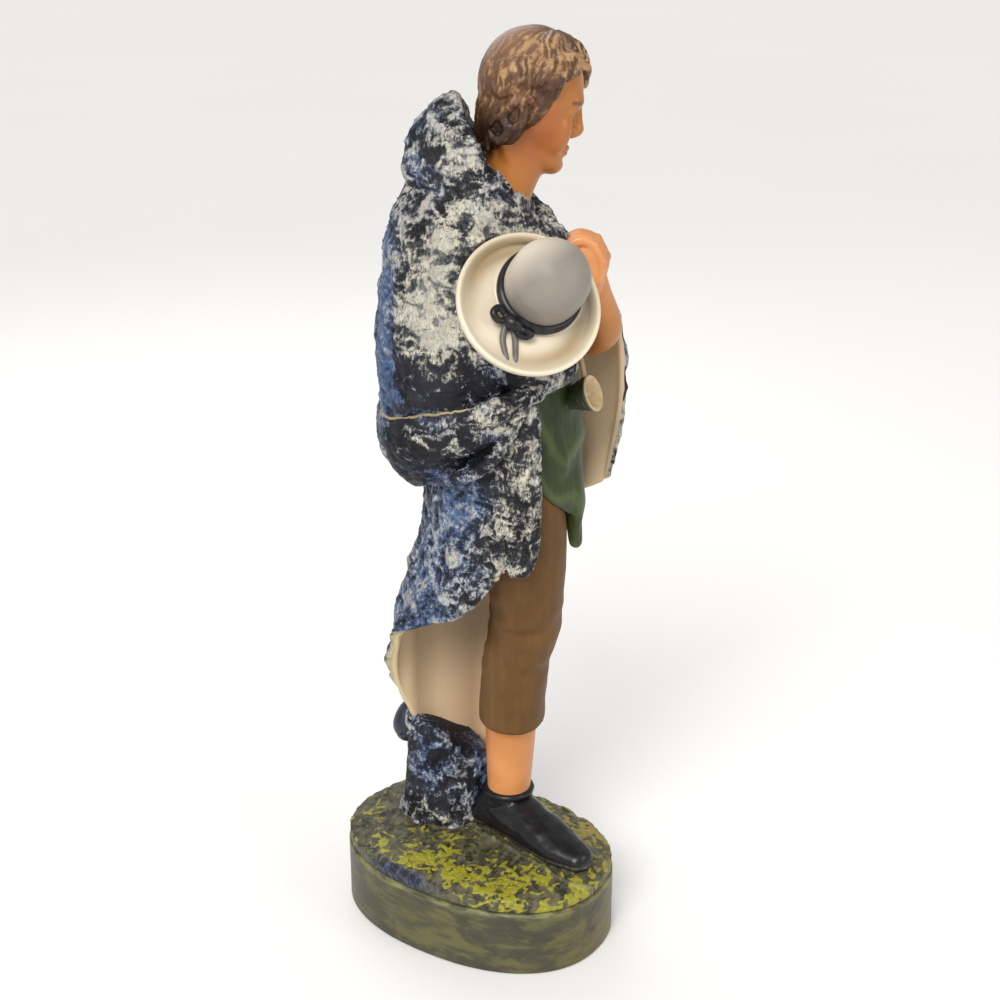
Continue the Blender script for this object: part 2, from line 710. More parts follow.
def hair_paint():
    """Brown hair with tan dragged over the curls."""
    paints, paint = bpy.context.scene.shepherd_paints, Paint("painted_hair")
    relief, tan = paint.noted("relief"), paint.noted("tan")
    bristle = paint.grain(0.0009, detail=4, rough=0.6, bend=0.5)
    drag = paint.grain(0.004, detail=2, bend=0.8)
    brush = relief * 0.55 + bristle * 0.9 + drag * 0.2 - 0.31
    dark = paint.mix(drag.step(0.5, 0.5), scaled(paints.hair, 0.75), scaled(paints.hair, 1.25))
    groove = relief.step(0.36, 0.30)
    dark = paint.mix(groove * 0.7 + 0.3, scaled(paints.hair, 0.42), dark)
    dark = paint.mix(paint.noted("cap") * 0.75, dark, (0.25, 0.135, 0.075))
    dark = paint.mix(paint.noted("shadow"), dark, scaled(paints.hair, 0.16))
    tint = paint.mix(brush.step(1.0 - tan, 0.34) * 0.88, dark, paints.hair_light)
    return paint.finish(tint, 0.34 + bristle * 0.12, bristle, lift=0.0003, coat=0.06, gloss=0.3)


def cloth_paint(name, shade, light, rough=0.42, coat=0.2, gloss=0.4, rubbed=False):
    """A plain cloth colour laid on with a broad brush, lighter where it was rubbed."""
    paint = Paint(name)
    broad = paint.grain(0.013, detail=2, stretch=(1, 1, 3))
    brush = paint.grain(0.0018, detail=3, stretch=(1, 1, 5))
    speck = paint.grain(0.0009, detail=3)
    base = paint.mix(broad.step(0.52, 0.45), scaled(shade, 0.78), scaled(shade, 1.22))
    tint = paint.mix(brush.step(0.60, 0.30) * 0.32, base, light)
    if rubbed:
        ridge = paint.noted("ridge")
        tint = paint.mix((1.0 - ridge).clamped() * 0.45, tint, scaled(shade, 0.45))
        tint = paint.mix(ridge.step(0.80, 0.35) * 0.55, tint, light)
    height = brush * 0.7 + speck * 0.3
    return paint.finish(tint, rough + 0.12 * speck, height, lift=0.0002, coat=coat, gloss=gloss)


def shoe_paint():
    """Glossy black, with dust rubbed into the welt."""
    paints, paint = bpy.context.scene.shepherd_paints, Paint("black_shoes")
    speck = paint.grain(0.0010, detail=3)
    broad = paint.grain(0.008, detail=2)
    tint = paint.mix(broad.step(0.6, 0.4) * 0.5, paints.shoes, scaled(paints.shoes, 2.0))
    tint = paint.mix(paint.noted("welt") * speck.step(0.40, 0.2) * 0.7, tint, (0.16, 0.15, 0.12))
    return paint.finish(tint, 0.26 + speck * 0.14, speck, lift=0.00018, coat=0.25, sheen_rough=0.16, gloss=0.25)


def brim_paint():
    """Pearly ivory, with tan airbrushed into the dish of the brim."""
    paints, paint = bpy.context.scene.shepherd_paints, Paint("pearly_brim")
    shade = paint.noted("shade")
    speck = paint.grain(0.0016, detail=3)
    broad = paint.grain(0.010, detail=2)
    base = paint.mix(broad.step(0.5, 0.6) * 0.4, paints.hat, scaled(paints.hat, 0.86))
    tint = paint.mix((shade * (0.75 + broad * 0.5)).clamped(), base, paints.hat_shade)
    return paint.finish(tint, 0.30 + speck * 0.10, speck, lift=0.00015, coat=0.25)


def crown_paint():
    """A silvery satin grey."""
    paints, paint = bpy.context.scene.shepherd_paints, Paint("satin_crown")
    speck = paint.grain(0.0014, detail=3)
    broad = paint.grain(0.012, detail=2)
    tint = paint.mix(broad.step(0.5, 0.6), scaled(paints.crown, 0.88), scaled(paints.crown, 1.08))
    tint = paint.mix(paint.noted("upper"), tint, scaled(paints.crown, 2.8))
    return paint.finish(tint, 0.42 + speck * 0.08, speck, lift=0.00012, coat=0.10, sheen_rough=0.30, gloss=0.3)


def horn_paint():
    """A cream mouth that darkens to a black-green body."""
    paints, paint = bpy.context.scene.shepherd_paints, Paint("painted_horn")
    mouth = paint.noted("mouth")
    ring = paint.grain(0.0015, detail=3)
    dark = paint.mix(ring, (0.012, 0.016, 0.008), (0.05, 0.06, 0.028))
    cream = paint.mix(ring.step(0.5, 0.5), scaled(paints.horn, 0.75), scaled(paints.horn, 1.1))
    tint = paint.mix(mouth, dark, cream)
    return paint.finish(tint, 0.34 + ring * 0.1, ring, lift=0.0002, coat=0.35)


def ground_paint():
    """Dark earth with yellow green dry-brushed over its clumps, and a blue-black strip at the left."""
    paints, paint = bpy.context.scene.shepherd_paints, Paint("brushed_ground")
    relief, turf, strip = paint.noted("relief"), paint.noted("turf"), paint.noted("strip")
    bristle = paint.grain(0.0008, detail=4, rough=0.7, bend=0.8)
    drag = paint.grain(0.0034, detail=3, bend=1.0)
    broad = paint.grain(0.022, detail=2)
    hatch = paint.grain(0.0013, detail=3, stretch=(1, 4, 1), rough=0.6)
    brush = relief * 0.90 + bristle * 0.7 + drag * 0.8 - 0.70
    olive = paint.mix(broad.step(0.45, 0.2), paints.earth, (0.085, 0.078, 0.036))
    worn = paint.mix(hatch.step(0.50, 0.22) * 0.8, olive, (0.135, 0.125, 0.070))
    dark = paint.mix(drag.step(0.56, 0.2), worn, scaled(paints.earth, 0.45))
    green = paint.mix(bristle.step(0.5, 0.4), scaled(paints.turf, 0.45), paints.turf)
    green = paint.mix(paint.noted("warm") * 0.75, green, (0.25, 0.185, 0.050))
    tint = paint.mix(brush.step(1.0 - turf, 0.22), dark, green)
    tint = paint.mix(paint.noted("ring") * 0.7, tint, (0.17, 0.16, 0.11))
    blue = paint.mix(hatch.step(0.56, 0.2) * 0.6, (0.010, 0.012, 0.022), (0.10, 0.14, 0.26))
    tint = paint.mix(strip, tint, blue)
    height = bristle * 0.6 + drag * 0.4
    return paint.finish(tint, 0.44 + bristle * 0.2, height, lift=0.0005, coat=0.12, gloss=0.4)


def plinth_paint():
    """Dark olive with soft yellow green patches, dragged round the side with a dry brush."""
    paints, paint = bpy.context.scene.shepherd_paints, Paint("brushed_plinth")
    strokes = paint.grain(0.0016, detail=4, stretch=(4, 4, 1), rough=0.6)
    sweep = paint.grain(0.008, detail=5, stretch=(2.0, 2.0, 1), rough=0.6, bend=0.9)
    broad = paint.grain(0.03, detail=1)
    speck = paint.grain(0.0009, detail=3)
    ground = paint.mix(broad.step(0.52, 0.25), paints.plinth, (0.080, 0.066, 0.030))
    ground = paint.mix(paint.noted("warm") * 0.8, ground, (0.16, 0.115, 0.035))
    dark = paint.mix(sweep.step(0.48, 0.25), scaled(paints.plinth, 0.62), ground)
    patch = (strokes * 1.1 + sweep * 1.1 - 0.6).step(0.58, 0.22)
    tint = paint.mix(patch * 0.60, dark, (0.130, 0.126, 0.034))
    tint = paint.mix(paint.noted("lip") * strokes.step(0.50, 0.25) * 0.8, tint, (0.24, 0.24, 0.10))
    height = strokes * 0.7 + speck * 0.3
    return paint.finish(tint, 0.42 + strokes * 0.2, height, lift=0.0003, coat=0.12, gloss=0.4)


# Paths and scatter, made with Geometry Nodes

class NodeGroup:
    """A Geometry Nodes tree with named inputs, and the way to run it on a mesh."""

    def __init__(self, name, **inputs):
        self.tree = bpy.data.node_groups.new(name, "GeometryNodeTree")
        self.sockets = {}
        for label, kind in {"Geometry": "Geometry", **inputs}.items():
            self.sockets[label] = self.socket(label, "INPUT", kind)
        self.socket("Geometry", "OUTPUT", "Geometry")
        self.start = self.tree.nodes.new("NodeGroupInput")

    def socket(self, label, way, kind):
        face = self.tree.interface
        return face.new_socket(label, in_out=way, socket_type="NodeSocket" + kind).identifier

    def node(self, kind, settings=None, sockets=None):
        made = self.tree.nodes.new(kind)
        for key, value in (settings or {}).items():
            setattr(made, key, value)
        for key, value in (sockets or {}).items():
            if isinstance(value, bpy.types.NodeSocket):
                self.tree.links.new(value, made.inputs[key])
            else:
                made.inputs[key].default_value = value
        return made.outputs

    def given(self, label):
        return self.start.outputs[label]

    def end(self, geometry):
        real = self.node("GeometryNodeRealizeInstances", sockets={"Geometry": geometry})
        sockets = {"Geometry": real[0], "Material": self.given("Material")}
        inked = self.node("GeometryNodeSetMaterial", sockets=sockets)
        self.node("NodeGroupOutput", sockets={"Geometry": inked[0]})

    def noted(self, name):
        return self.node("GeometryNodeInputNamedAttribute", {"data_type": "FLOAT"}, {"Name": name})[0]

    def run(self, piece, values):
        """Works the tree out on the piece and leaves it a plain mesh."""
        live = piece.modifiers.new("made", "NODES")
        live.node_group = self.tree
        for label, value in values.items():
            live[self.sockets[label]] = value
        data = evaluated_mesh(piece)
        piece.modifiers.clear()
        piece.data = data
        return piece


def sweep_group():
    """Sweeps a round profile along a path, as thick at each point as its radius says."""
    group = NodeGroup("sweep_along_path", Sides="Int", Thickness="Float", Material="Material")
    line = group.node("GeometryNodeMeshToCurve", sockets={"Mesh": group.given("Geometry")})
    sockets = {"Resolution": group.given("Sides"), "Radius": group.given("Thickness")}
    ring = group.node("GeometryNodeCurvePrimitiveCircle", {"mode": "RADIUS"}, sockets)
    sockets = {"Curve": line[0], "Profile Curve": ring[0], "Scale": group.noted("radius"), "Fill Caps": True}
    group.end(group.node("GeometryNodeCurveToMesh", sockets=sockets)[0])
    return group


def clump_group():
    """Scatters small rounded clumps over a surface, each turned and sized by chance."""
    group = NodeGroup("scatter_clumps", Density="Float", Size="Float", Seed="Int", Material="Material")
    seed = group.given("Seed")
    sockets = {0: group.noted("clumps"), 1: group.given("Density")}
    density = group.node("ShaderNodeMath", {"operation": "MULTIPLY"}, sockets)
    sockets = {"Mesh": group.given("Geometry"), "Density": density[0], "Seed": seed}
    spread = group.node("GeometryNodeDistributePointsOnFaces", {"distribute_method": "RANDOM"}, sockets)
    clump = group.node("GeometryNodeMeshIcoSphere", sockets={"Radius": group.given("Size"), "Subdivisions": 2})
    flat = group.node("GeometryNodeTransform", sockets={"Geometry": clump[0], "Scale": (1.5, 0.9, 0.30)})
    sockets = {"Min": (0, 0, 0), "Max": (0.25, 0.25, 6.28), "Seed": seed}
    turn = group.node("FunctionNodeRandomValue", {"data_type": "FLOAT_VECTOR"}, sockets)
    size = group.node("FunctionNodeRandomValue", {"data_type": "FLOAT"}, {2: 0.5, 3: 1.5, "Seed": seed})
    sockets = {"Points": spread[0], "Instance": flat[0], "Rotation": turn[0], "Scale": size[1]}
    group.end(group.node("GeometryNodeInstanceOnPoints", sockets=sockets)[0])
    return group


def swept(name, paths, material, sides=12):
    """A closed round tube along each path of rows of x, y, z and half thickness. A loop is marked."""
    points, edges, radii = [], [], []
    for rows, count, loop in paths:
        first = len(points)
        line = through(list(rows) + [rows[0]], count + 1)[:-1] if loop else through(rows, count)
        points += line[:, :3].tolist()
        radii += line[:, 3].tolist()
        edges += [(i, i + 1) for i in range(first, first + count - 1)]
        if loop:
            edges.append((first + count - 1, first))
    data = bpy.data.meshes.new(name)
    data.from_pydata(points, edges, [])
    piece = linked(name, data)
    note(piece, radius=radii)
    return sweep_group().run(piece, {"Sides": sides, "Thickness": 1.0, "Material": material})


def settle(piece, node=FIGURE, material=None, place=PLACE):
    """Puts a finished piece where it stands, and says what it is to the frame."""
    if place is not None:
        piece.data.transform(place)
    if material is not None:
        piece.data.materials.clear()
        piece.data.materials.append(material)
    face_outwards(piece.data)
    piece.data.shade_smooth()
    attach(piece, "root")
    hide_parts(node)
    return piece


# The head

EYE_PLACE = (15.3, 8.4, 2.2)
EYE_RADIUS = 5.3

# How low the hair falls, by the degrees round from the face: temple, ear, then nape
HAIR_ENDS = (
    (22, 50, 72, 83, 100, 109, 114, 127, 140, 180),
    (26, 24, 20, 14, 5, -4, -12, -20, -25, -29),
)

# The open curls at each side: degrees round from the face, height, reach and where each one opens
CURLS = (
    (133, 9, 6.0, 0.6),
    (112, -6, 4.6, 2.4),
    (101, 24, 5.0, 3.6),
    (84, 20, 4.2, 1.2),
    (118, 16, 4.6, 5.2),
    (124, -14, 4.4, 0.2),
)

# The paint on the hair: a place in the head's axes, its spread, and what it adds to tan and shadow
HAIR_PLACES = (
    ((-5, -15, 26), (17, 13, 11), 0.52, -0.2),
    ((18, -6, 24), (12, 14, 12), 0.46, 0.0),
    ((-17, -17, 10), (6, 8, 7), 0.30, 0.0),
    ((2, -20, 14), (10, 9, 5), -0.30, 0.85),
    ((-8, -19, -10), (10, 9, 8), -0.10, 0.70),
    ((-18, -12, -20), (15, 14, 11), -0.20, 0.95),
)


def head_frame():
    """The bowed head's place: its centre, and its own axes forward, left and up."""
    bow, yaw = math.radians(18), math.radians(6)
    turn = Matrix.Rotation(yaw, 3, "Z") @ Matrix.Rotation(bow, 3, "Y")
    return Vector((26, 2, 413)), turn


def in_head(*rows):
    return in_axes(head_frame(), rows)


def carve_skull(forms):
    """The head's and the neck's broad forms, which are melted together before the features."""
    centre, turn = head_frame()
    for place, radii in (
        ((0, 0, 8), (23, 20.5, 24.5)),
        ((8, 0, -6), (15, 17, 19)),
        ((10, 0, -19), (13, 12.5, 11)),
        ((14, 0, -21.5), (10.5, 11, 9)),
        ((18.5, 0, -23.8), (6.4, 8, 6.6)),
        ((15.4, 8.6, -9), (6.8, 7.6, 11.5)),
        ((15.4, -8.6, -9), (6.8, 7.6, 11.5)),
        ((19, 0, 7.5), (5.6, 14, 6)),
    ):
        forms.ball(centre + turn @ Vector(place), radii, turn)
    neck = [(8, 0, 348, 16, 17), (13, 0, 368, 13, 13.5), (19, 1, 388, 15, 13.5), (22, 2, 400, 15, 14)]
    forms.tube(neck, side=FORWARD, around=40, along=24)
    for side in (-1, 1):
        cord = [(12, 11 * side, 398, 3, 3), (19, 8.5 * side, 378, 3, 3), (25, 3.5 * side, 356, 2.5, 2.5)]
        forms.tube(cord, side=FORWARD, along=20)


def carve_features(forms):
    """Nose and lips, on even proportions: brow, nose and chin each a third of the way down."""
    bridge = (19.8, 0, 7, 4.2, 2.4), (21.2, 0, 0, 5.2, 2.4)
    tip = (22.6, 0, -6.4, 6.8, 2.8), (23.4, 0, -8.2, 6.0, 2.6)
    forms.tube(in_head(*bridge, *tip), side=FORWARD, around=20, along=20)
    for side in (-1, 1):
        wing = in_head((22.6, 3.0 * side, -6.4, 3.2, 1.8), (23.6, 2.8 * side, -8.4, 3.5, 1.7))
        forms.tube(wing, side=FORWARD, around=14, along=6)
    upper = (20.6, 6.2, -15.5, 0.7, 0.8), (22.9, 3.0, -14.9, 1.3, 1.4), (23.6, 0, -15.3, 1.2, 1.3)
    lower = (20.6, 5.2, -16.6, 0.7, 0.7), (22.9, 2.4, -17.9, 1.5, 1.5), (23.3, 0, -18.1, 1.6, 1.5)
    for half in (upper, lower):
        near_half = [(x, -y, *rest) for x, y, *rest in half]
        forms.tube(in_head(*near_half, *half[1::-1]), around=16, along=28)


def lid_forms(forms):
    """Lids that lie low over the eyes, each with its own edge."""
    centre, turn = head_frame()
    x, y, z = EYE_PLACE
    for side in (-1, 1):
        for lift, back, radius in ((1.9, -0.35, EYE_RADIUS + 0.25), (-2.7, -0.5, EYE_RADIUS + 0.1)):
            forms.ball(centre + turn @ Vector((x + back, y * side, z + lift)), (radius,) * 3, turn)
        for height, thick in ((0.16, 0.62), (-0.30, 0.5)):
            edge = []
            for angle in (-1.15, -0.6, 0, 0.6, 1.15):
                rise = height * (1 - (angle / 1.1) ** 2) * 2
                reach = EYE_RADIUS + 0.15
                point = (
                    x + reach * math.cos(angle) * math.cos(rise),
                    y * side + reach * math.sin(angle),
                    z + reach * math.sin(rise),
                )
                edge.append((*point, thick, thick))
            forms.tube(in_head(*edge), around=10, along=20)


def sculpt_face(piece):
    """Presses in the sockets, nostrils and hollows, and notes where brows, lips and blush go."""
    local = seen_from(piece, head_frame())
    for side in (-1, 1):
        for place, radii, move in (
            ((23.5, 5.8, 2.0), (6, 2.6, 4.2), (-1.6, 0, 0)),
            ((26.8, 2.3, -9.9), (1.5, 0.9, 1.2), (-0.3, 0, 1.5)),
            ((12, 18, -15), (9, 6, 8), (0, -1.6, 0)),
            ((12, 22, 14), (8, 5, 9), (0, -1.0, 0)),
            ((21.6, 6.6, -16), (2, 1.7, 1.5), (-0.9, 0, 0)),
        ):
            mirror = (1, side, 1)
            local = press(local, np.multiply(place, mirror), radii, np.multiply(move, mirror))
    local = press(local, (24.5, 0, -12), (3, 1.3, 2.2), (-0.6, 0, 0))
    local = press(local, (23.5, 0, -21), (4, 6, 1.9), (-1.2, 0, 0))
    move_to(piece, back_from(local, head_frame()))
    x, y, z = local.T
    arch = 8.6 - 0.035 * (abs(y) - 7.5) ** 2
    brow = np.exp(-(((z - arch) / 1.1) ** 2)) * (abs(y) > 3) * (abs(y) < 14) * (x > 8)
    mouth = near(local, (22.5, 0, -16.5), (5, 5.6, 2.6))
    brow = np.clip(brow * np.clip((abs(y) - 2.5) / 2, 0, 1), 0, 1)
    both = np.stack([x, abs(y), z], axis=1)
    cheeks = near(both, (9, 16, -8), (13, 9, 12)) + 0.7 * near(both, (4, 13, -21), (13, 10, 9))
    note(piece, brow=brow, lips=np.clip((mouth - 0.45) * 5, 0, 1), blush=np.clip(cheeks, 0, 1), pale=0)


def scalp(azimuth, height, out=0.0):
    """A place in the head's axes, by its angle round from the face and its height."""
    above = (height - 9) / 27.5
    reach = math.sqrt(max(1 - above**2, 0.02)) if above > 0 else 1 + 0.12 * above
    return (25.5 * reach + out) * math.cos(azimuth), (23 * reach + out) * math.sin(azimuth), height


def carve_hair(forms):
    """A smooth cap at the crown, rows of waving locks that fall to the nape, and a forelock."""
    centre, turn = head_frame()
    forms.ball(centre + turn @ Vector((-4, 0, 9.5)), (22.2, 22.6, 26.8), turn)
    forms.ball(centre + turn @ Vector((-7.0, 0, 9.8)), (21.8, 23.6, 25.0), turn)
    forms.ball(centre + turn @ Vector((-10.5, 0, -8)), (13.5, 20.3, 19), turn)
    for side in (-1, 1):
        for row, degrees in enumerate(range(66 if side < 0 else 30, 181, 9)):
            cap = 11 * min(1, max(0, (degrees - 95) / 30))
            low, high = float(np.interp(degrees, *HAIR_ENDS)), 32 - 0.05 * degrees - 3 * (row % 2) - cap
            lock = []
            for i in range(9):
                share = i / 8
                wave = math.radians(degrees + 8.5 * math.sin(8.5 * share + degrees))
                curly = math.exp(-(((degrees - 78) / 36) ** 2)) * min(1, 1.6 * share + 0.2)
                thick = 2.3 + curly * (1.7 + 0.8 * math.sin(9 * share + row)) - 1.2 * abs(2 * share - 1.0)
                lift = curly * (1.2 + 1.5 * math.sin(11 * share + 2.1 * row)) - 1.2 * share
                place = scalp(side * wave, high + (low - high) * share, lift)
                lock.append((*place, thick, thick + 0.5))
            strands = (5, 0.13, 5 + row % 3)
            forms.tube(in_head(*lock), side=FORWARD, around=22, along=46, strands=strands)
        for degrees, height, reach, opens in CURLS:
            ring = []
            for i in range(9):
                w = opens + 5.4 * i / 8
                azimuth = side * (math.radians(degrees) + reach * math.cos(w) / 24)
                place = scalp(azimuth, height + 1.25 * reach * math.sin(w), 2.4)
                ring.append((*place, 1.7 + 0.6 * math.sin(0.4 * i), 2.1))
            forms.tube(in_head(*ring), side=FORWARD, around=18, along=44, strands=(4, 0.12, 5))
    waves = [
        [(3, 3, 32, 4, 5), (12, 6.5, 30, 4.5, 5), (20, 10.5, 23.5, 4, 4.5), (23.5, 12.5, 15, 2.5, 3)],
        [(8, 2, 30.5, 2.4, 2.4), (5, -8, 30, 3.2, 3.4), (2, -15.5, 26, 3.2, 3.4), (0, -20, 19, 2.6, 2.8)],
        [(3, 1, 32, 2.8, 3), (1, -9, 32, 3.4, 3.8), (-2, -17.5, 27, 3.4, 3.8), (-5, -22, 19, 2.6, 2.8)],
        [(0, 0, 32.4, 3, 3), (-2, -10, 32, 3.4, 3.8), (-5, -18.5, 27, 3.4, 3.8), (-9, -22.5, 20, 2.6, 2.8)],
    ]
    waves += [[(x, -y, *rest) for x, y, *rest in wave] for wave in waves[2:]]
    for wave in waves:
        forms.tube(in_head(*wave), around=26, along=44, strands=(6, 0.14, 6))


def sculpt_hair(piece):
    """Combs fine strands into the hair, and notes where the tan is brushed on."""
    local = seen_from(piece, head_frame())
    relief = []
    for x, y, z in local:
        round_head = math.atan2(y, x + 2) * 16
        bend = noise.noise_vector(Vector((x, y, z)) / 11) * 3.0
        flow = Vector((round_head + bend.x, (z + bend.y) / 5, bend.z))
        relief.append(noise.noise(flow / 1.5) + 0.6 * noise.noise(flow / 0.7))
    relief = np.array(relief)
    combed = 1 - 0.85 * near(local, (-14, 0, 32), (24, 40, 17))
    raise_by(piece, relief * 0.34 * combed)
    local[:, 1] = -abs(local[:, 1])
    tan, shadow = 0.20 - 0.3 * (1 - combed), 0.10
    for centre, radii, more_tan, more_shadow in HAIR_PLACES:
        close = near(local, centre, radii)
        tan, shadow = tan + more_tan * close, shadow + more_shadow * close
    cap = near(local, (-20, 0, 26), (17, 40, 17))
    note(piece, relief=ranked(relief), tan=np.clip(tan, 0, 1), shadow=np.clip(shadow, 0, 1), cap=cap)


def make_eyes():
    """The two painted eyeballs, which look down."""
    centre, turn = head_frame()
    forms = Forms()
    x, y, z = EYE_PLACE
    for side in (-1, 1):
        forms.ball(centre + turn @ Vector((x, (y - 0.4) * side, z)), (EYE_RADIUS,) * 3, turn)
    piece = forms.object("eyes")
    local = seen_from(piece, head_frame())
    side = np.sign(local[:, 1])
    out = np.stack([local[:, 0] - x, local[:, 1] - side * y, local[:, 2] - z], axis=1) / EYE_RADIUS
    note(piece, iris=out @ np.array(Vector((1, 0, -0.16)).normalized()))
    return piece


# The cloak

def carve_cape(forms):
    """The fleece over the shoulders and the right elbow, with its thick standing hood."""
    forms.stack(
        [
            (6, 0, 384, 12, 14, -0.5),
            (-1, 0, 376, 26, 26, -0.3),
            (-6, 0, 362, 34, 40, -0.1),
            (-4, 0, 341, 43, 51, 0),
            (-4, 0, 305, 47, 56, 0.05),
            (-5, 0, 282, 46.5, 56, 0.1),
            (-7, 0, 262, 44, 51, 0.15),
        ],
        around=120,
        along=90,
        fleece=True,
    )
    collar = [
        (-22, 0, 397, 24, 11),
        (-14, -18, 386, 19, 9),
        (4, -26, 367, 13, 8),
        (24, -22, 353, 9, 7),
        (37, -6, 346, 8, 6),
        (37, 8, 346, 8, 6),
        (24, 23, 356, 9, 7),
        (4, 27, 370, 13, 8),
        (-14, 18, 388, 19, 9),
    ]
    forms.tube(collar, side=(0.55, 0, 1), around=40, along=120, loop=True, fleece=True)
    forms.ball((-27, -4, 384), (10, 13, 12))
    elbow = [(-6, -38, 336, 19, 16), (8, -44, 306, 17, 13), (24, -44, 292, 13, 12), (40, -34, 291, 10, 9)]
    forms.tube(elbow, side=FORWARD, around=30, along=24, fleece=True)


def carve_swag(forms):
    """The fleece gathered up on the right arm, slung round the hips like a bag, and its pleats."""
    swag = [
        (28, -50, 283, 5, 5),
        (6, -53, 272, 10, 8),
        (-14, -48, 262, 15, 11),
        (-31, -32, 248, 20, 13),
        (-38, -8, 246, 21, 13),
        (-37, 12, 247, 20, 13),
        (-30, 32, 252, 18, 13),
        (-12, 48, 262, 16, 11),
        (12, 52, 274, 12, 9),
    ]
    forms.tube(swag, along=130, around=48, lean=0.35, fleece=True)
    meet = (27, -50, 283, 3, 3)
    for z, back in ((270, -38), (256, -32), (243, -22)):
        middle = (0.45 * back, -52, z - 4, 3.5, 3.5)
        pleat = [meet, (8, -55, z + 8, 3.5, 3.5), middle, (back, -36, z - 12, 2, 2)]
        forms.tube(pleat, around=14, along=40)


SKIRT = (
    ((14, 50, 276), (16, 51, 210), (11, 51, 130), (4, 47, 30)),
    ((-4, 46, 262), (-2, 45, 205), (-5, 47, 130), (-7, 45, 34)),
    ((-20, 33, 250), (-19, 32, 205), (-25, 34, 132), (-21, 36, 46)),
    ((-28, 17, 240), (-26, 18, 200), (-38, 20, 136), (-38, 26, 60)),
    ((-30, 4, 238), (-27, 5, 198), (-42, 7, 142), (-46, 13, 88)),
    ((-28, -9, 240), (-25, -9, 200), (-38, -8, 154), (-48, -7, 124)),
    ((-22, -23, 244), (-21, -22, 206), (-28, -23, 168), (-42, -21, 138)),
    ((-14, -37, 250), (-15, -36, 212), (-19, -35, 180), (-25, -33, 150)),
    ((-4, -43, 258), (-5, -42, 222), (-6, -41, 190), (-9, -39, 157)),
    ((7, -48, 272), (7, -47, 230), (6, -46, 202), (5.5, -45, 175)),
    ((11, -48.5, 274), (11.5, -48, 232), (11.5, -47, 206), (11, -46, 186)),
    ((16, -49, 278), (18, -49, 240), (18.5, -48, 208), (18, -47, 183)),
    ((25, -50, 284), (27.5, -48, 246), (28, -46, 214), (26, -45, 187.5)),
    ((28, -48, 286), (31, -46, 250), (32, -44, 228), (31.5, -43, 209)),
)
DRAPE = (
    ((71, 34, 305), (76.8, 34, 282), (77, 33, 248), (69.5, 31, 208)),
    ((57, 47, 303), (61, 48, 262), (61.5, 43, 226), (59, 35, 200)),
    ((36, 53, 304), (39, 54, 262), (40, 50, 222), (38, 47, 194)),
    ((20, 55, 296), (22, 55, 252), (20, 53, 210), (18, 52, 172)),
    ((6, 49.5, 286), (6, 49.5, 240), (5, 47.5, 200), (4, 46.5, 150)),
)


def tuck_behind_hat(piece):
    """Presses the fleece back to the underside of the hat's brim where the hat lies on it."""
    sizes = bpy.context.scene.shepherd_sizes
    local = seen_from(piece, hat_frame())
    reach = np.hypot(local[:, 0], local[:, 1])
    curl = np.clip(reach / (0.5 * sizes.hat_brim) - 0.75, 0, 1)
    limit = -sizes.brim_thickness - 0.6 + sizes.brim_curl * curl
    under = reach < 0.5 * sizes.hat_brim + 1.5
    local[:, 2] = np.where(under, np.minimum(local[:, 2], limit), local[:, 2])
    move_to(piece, back_from(local, hat_frame()))
    return piece


def make_cape():
    forms = Forms()
    carve_cape(forms)
    piece = cast_in_one(forms, "fleece_cape", FLEECE_VOXEL)
    return tuck_behind_hat(dress_in_fleece(piece, (7.5, 7.5, 4.8)))


def make_swag():
    forms = Forms()
    carve_swag(forms)
    piece = cast_in_one(forms, "fleece_swag", SWAG_VOXEL)
    return tuck_behind_hat(dress_in_fleece(piece, (8, 8, 4.2), depth=0.8))


def make_sleeve():
    forms = Forms()
    left_arm = [(-4, 41, 338, 19, 17), (28, 48, 312, 17, 15), (56, 42, 294, 12, 13)]
    forms.tube(left_arm, side=FORWARD, around=90, along=110, fleece=True)
    return dress_in_fleece(forms.object("fleece_sleeve"), (6, 6, 6))


def make_train():
    """The train that the figure stands against, cut off on a slant under the cloak's lining."""
    forms = Forms()
    train = [
        (-20, 28, -6, 29, 23, 0),
        (-20, 28, 3, 26.5, 21, 0),
        (-19, 28, 20, 25, 19.5, -0.15),
        (-18, 28, 36, 25.2, 18.5, -0.4),
        (-17.5, 28, 48, 24.5, 17.5, -0.6),
        (-18.5, 28, 54, 20.5, 14, -0.65),
    ]
    forms.stack(train, around=170, along=90, fleece=True)
    return dress_in_fleece(forms.object("fleece_train"), (6, 6, 6.5), depth=0.8)


def make_lobe():
    """The rounded end of the cloak's far fold, painted blue-black."""
    forms = Forms()
    fold_end = [(-37, 38, 67, 4, 4), (-41, 36, 60, 7.2, 7.2), (-43.5, 34, 53, 8, 7.6), (-43, 33, 49, 7, 6.5)]
    forms.tube(fold_end, side=FORWARD, around=60, along=50)
    return forms.object("cloak_fold_end")


